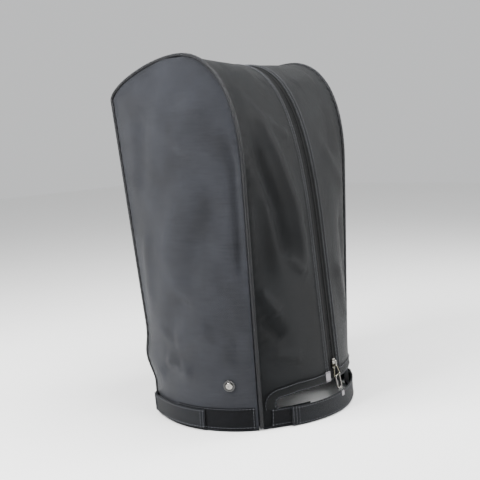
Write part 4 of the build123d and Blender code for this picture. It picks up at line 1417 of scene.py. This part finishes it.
@dataclass
class SideStraps:
    """Straps sewn in at the back seams and closed on long pile patches."""

    low: float = 3.4 * MM
    high: float = 27.8 * MM
    end: float = -21.4 * MM
    hinge: float = 74.0 * MM
    root_end: float = 83.0 * MM
    inner: float = 2.5 * MM
    thickness: float = 1.5 * MM
    fold_radius: float = 2.0 * MM  # of the roll at the hinge
    fold_depth: float = 0.6 * MM  # the roll's middle lies this far under the strap's face
    hinge_lift: float = 2.1 * MM  # the layers sewn in at the root hold the strap off the panel
    lift_spread: float = 14 * MM

    def lift(self, y: np.ndarray) -> np.ndarray:
        """How far a band stands off the panel near its root: a bell curve of the distance from the hinge."""
        return self.hinge_lift * np.exp(-(((y - self.hinge) / self.lift_spread) ** 2))

    def band(
        self,
        surface: SideSurface,
        y_range: tuple[float, float],
        z_range: tuple[float, float],
        out: float,
        thickness: float,
        name: str,
    ) -> bpy.types.Object:
        """Flat band on a side panel between limits of y and z, rounded a little at its edges."""
        y = np.linspace(*y_range, max(12, int((y_range[1] - y_range[0]) / (1.6 * MM))))
        z = np.linspace(*z_range, 22)
        grid_y, grid_z = np.meshgrid(y, z)
        from_edge = np.minimum(grid_z - z_range[0], z_range[1] - grid_z)
        from_end = np.minimum(grid_y - y_range[0], y_range[1] - grid_y)
        soften = 0.35 * thickness * (np.exp(-from_edge / (0.8 * MM)) + np.exp(-from_end / (0.8 * MM)))
        stand = out - soften + self.lift(grid_y)
        points = surface.base(grid_y, grid_z) + surface.normal(grid_y, grid_z) * stand[..., None]
        if surface.side < 0:
            points = points[:, ::-1]
        made = shell(name, points, thickness * 0.94)
        outward(made)
        return made

    def stitch_rows(
        self,
        surface: SideSurface,
        y_range: tuple[float, float],
        z_range: tuple[float, float],
        out: float,
        inset: float,
    ) -> list[tuple[np.ndarray, np.ndarray]]:
        """Four rows of stitches inside the edges of a band."""
        front, back = y_range[0] + inset, y_range[1] - inset
        low, high = z_range[0] + inset, z_range[1] - inset
        runs = (
            ((front, back), (low, low)),
            ((front, back), (high, high)),
            ((front, front), (low, high)),
            ((back, back), (low, high)),
        )
        rows = []
        for y_run, z_run in runs:
            y = np.linspace(*y_run, 40)
            z = np.linspace(*z_run, 40)
            normal = surface.normal(y, z)
            rows.append((surface.base(y, z) + normal * (out + self.lift(y))[:, None], normal))
        return rows

    def build_hinge_fold(self, surface: SideSurface, word: str) -> None:
        """Builds the rolled fold that joins a strap to its sewn root, however far the strap swings."""
        z = np.linspace(self.low + 0.4 * MM, self.high - 0.4 * MM, 24)
        y = np.full_like(z, self.hinge - 0.15 * MM)
        normal = surface.normal(y, z)
        line = surface.base(y, z) + normal * (self.inner + self.thickness + self.hinge_lift - self.fold_depth)
        ring = np.arange(20) * 2 * math.pi / 20
        round_end = np.sqrt(np.clip(1 - np.linspace(-1, 1, len(z)) ** 20, 0.16, 1))
        circle = np.stack([np.cos(ring), np.sin(ring)], axis=-1)
        profile = self.fold_radius * round_end[:, None, None] * circle
        fold = swept(f"side_strap_fold_{word}", line, normal, profile)
        dress(fold, STRAP_OXFORD_PAINTED_SHADE, "hood")

    def build_side(self, side: int) -> None:
        """Builds the strap of one side."""
        word = SIDE_WORD[side]
        body = f"strap_{word}"
        surface = SideSurface(side)
        heights = (self.low, self.high)
        outer = self.inner + self.thickness
        strap_span = (self.end, self.hinge - 0.3 * MM)
        strap = self.band(surface, strap_span, heights, outer, self.thickness, f"side_strap_band_{word}")
        dress(strap, STRAP_OXFORD_PAINTED_SHADE, body, [f"side_strap_{word}"])
        rows = self.stitch_rows(surface, (self.end, self.hinge), heights, outer - 0.02 * MM, 2.2 * MM)
        second = self.stitch_rows(surface, (self.end, self.hinge), heights, outer - 0.02 * MM, 6.0 * MM)[2:3]
        dress(stitches(f"side_strap_stitches_{word}", rows + second), THREAD, body)

        root_name = f"side_strap_sewn_root_{word}"
        root_depth = outer - 0.12 * MM + self.hinge_lift
        root = self.band(surface, (self.hinge, self.root_end), heights, outer, root_depth, root_name)
        dress(root, STRAP_OXFORD_PAINTED_SHADE, "hood", [f"side_strap_root_{word}"])
        rows = self.stitch_rows(surface, (self.hinge, self.root_end), heights, outer - 0.02 * MM, 2.2 * MM)
        dress(stitches(f"side_root_stitches_{word}", rows), THREAD, "hood")

        self.build_hinge_fold(surface, word)
        patch_y, patch_z = (-78 * MM, 22 * MM), (3.4 * MM, 29.9 * MM)
        patch = self.band(surface, patch_y, patch_z, 1.1 * MM, 1.0 * MM, f"side_loop_pile_{word}")
        dress(patch, LOOP_PILE, "hood", [f"side_loop_patch_{word}"])
        rows = self.stitch_rows(surface, patch_y, patch_z, 1.0 * MM, 1.4 * MM)
        dress(stitches(f"side_pile_stitches_{word}", rows), THREAD, "hood")
        dress_node(f"side_strap_hook_{word}", HOOK_TAPE)

    def build(self) -> None:
        """Builds both sides."""
        for side in (-1, 1):
            self.build_side(side)


@dataclass
class Studs:
    """Press studs: enamel ring, nickel cap and the socket inside."""

    def build(self) -> None:
        """Dresses the studs and the seam bindings inside."""
        dress_node("stud_washers", BLACK_ENAMEL)
        dress_node("stud_caps", STUD_NICKEL)
        dress_node("stud_sockets", STUD_NICKEL)
        for word in ("left", "right"):
            dress_node(f"seam_binding_{word}", THREAD)


@dataclass
class Studio:
    """Pale floor, soft lights and the camera."""

    target: tuple[float, float, float] = (0.0, 0.0046, 0.25)
    around: float = 53.83  # degrees that the camera stands to the left of straight in front
    above: float = 6.19
    roll: float = 2.66
    distance: float = 1.0877
    lens: float = 58.44
    shift: tuple[float, float] = (-0.01467, -0.04156)

    def build_camera(self) -> None:
        """Places the camera by its angles round the target."""
        turn, pitch, roll = (math.radians(a) for a in (self.around, self.above, self.roll))
        level = math.cos(pitch)
        ahead = np.array([math.sin(turn) * level, math.cos(turn) * level, -math.sin(pitch)])
        right = np.array([math.cos(turn), -math.sin(turn), 0.0])
        up = np.cross(right, ahead)
        rolled_right = math.cos(roll) * right - math.sin(roll) * up
        rolled_up = math.sin(roll) * right + math.cos(roll) * up
        spot = np.array(self.target) - ahead * self.distance
        data = bpy.data.cameras.new("camera")
        data.lens = self.lens
        data.sensor_width = 36.0
        data.shift_x, data.shift_y = self.shift
        camera = bpy.data.objects.new("camera", data)
        bpy.context.scene.collection.objects.link(camera)
        matrix = Matrix.Identity(4)
        for row in range(3):
            matrix[row][0] = rolled_right[row]
            matrix[row][1] = rolled_up[row]
            matrix[row][2] = -ahead[row]
            matrix[row][3] = spot[row]
        camera.matrix_world = matrix
        bpy.context.scene.camera = camera

    def add_light(self, name: str, spot: tuple[float, float, float], size: float, watts: float) -> None:
        """Adds a square soft light that faces the hood's middle."""
        data = bpy.data.lights.new(name, "AREA")
        data.size = size
        data.energy = watts
        light = bpy.data.objects.new(name, data)
        light.location = spot
        light.rotation_euler = (Vector((0, 0, 0.24)) - Vector(spot)).to_track_quat("-Z", "Y").to_euler()
        bpy.context.scene.collection.objects.link(light)

    def build(self) -> None:
        """Builds the floor, the sky light, the lamps and the camera."""
        half, floor_z = 4.0, -0.5 * MM
        square = ((-half, -half), (half, -half), (half, half), (-half, half))
        corners = np.array([[x, y, floor_z] for x, y in square])
        floor = make_object("floor", corners, np.array([[0, 1, 2, 3]]))
        floor.data.materials.append(FINISHES.get(PALE_FLOOR))
        world = bpy.data.worlds.new("studio")
        world.use_nodes = True
        world.node_tree.nodes["Background"].inputs[0].default_value = linear("#f6f7f8")
        world.node_tree.nodes["Background"].inputs[1].default_value = 0.8
        bpy.context.scene.world = world
        self.add_light("key_light", (-0.8, 0.3, 1.1), 0.5, 43.0)
        self.add_light("top_light", (0.05, -0.3, 1.25), 0.6, 26.0)
        self.add_light("right_light", (1.1, -0.75, 0.75), 0.5, 15.0)
        self.build_camera()


def main() -> None:
    """Builds the hood, piece by piece, and the studio round it."""
    logging.basicConfig(level=logging.INFO, format="%(name)s: %(message)s")
    surface = GussetSurface()
    Studio().build()
    SidePanels().build()
    Gusset(surface).build()
    Zip(surface).build()
    FrontStrap(surface).build()
    SideStraps().build()
    Studs().build()


if __name__ == "__main__":
    main()
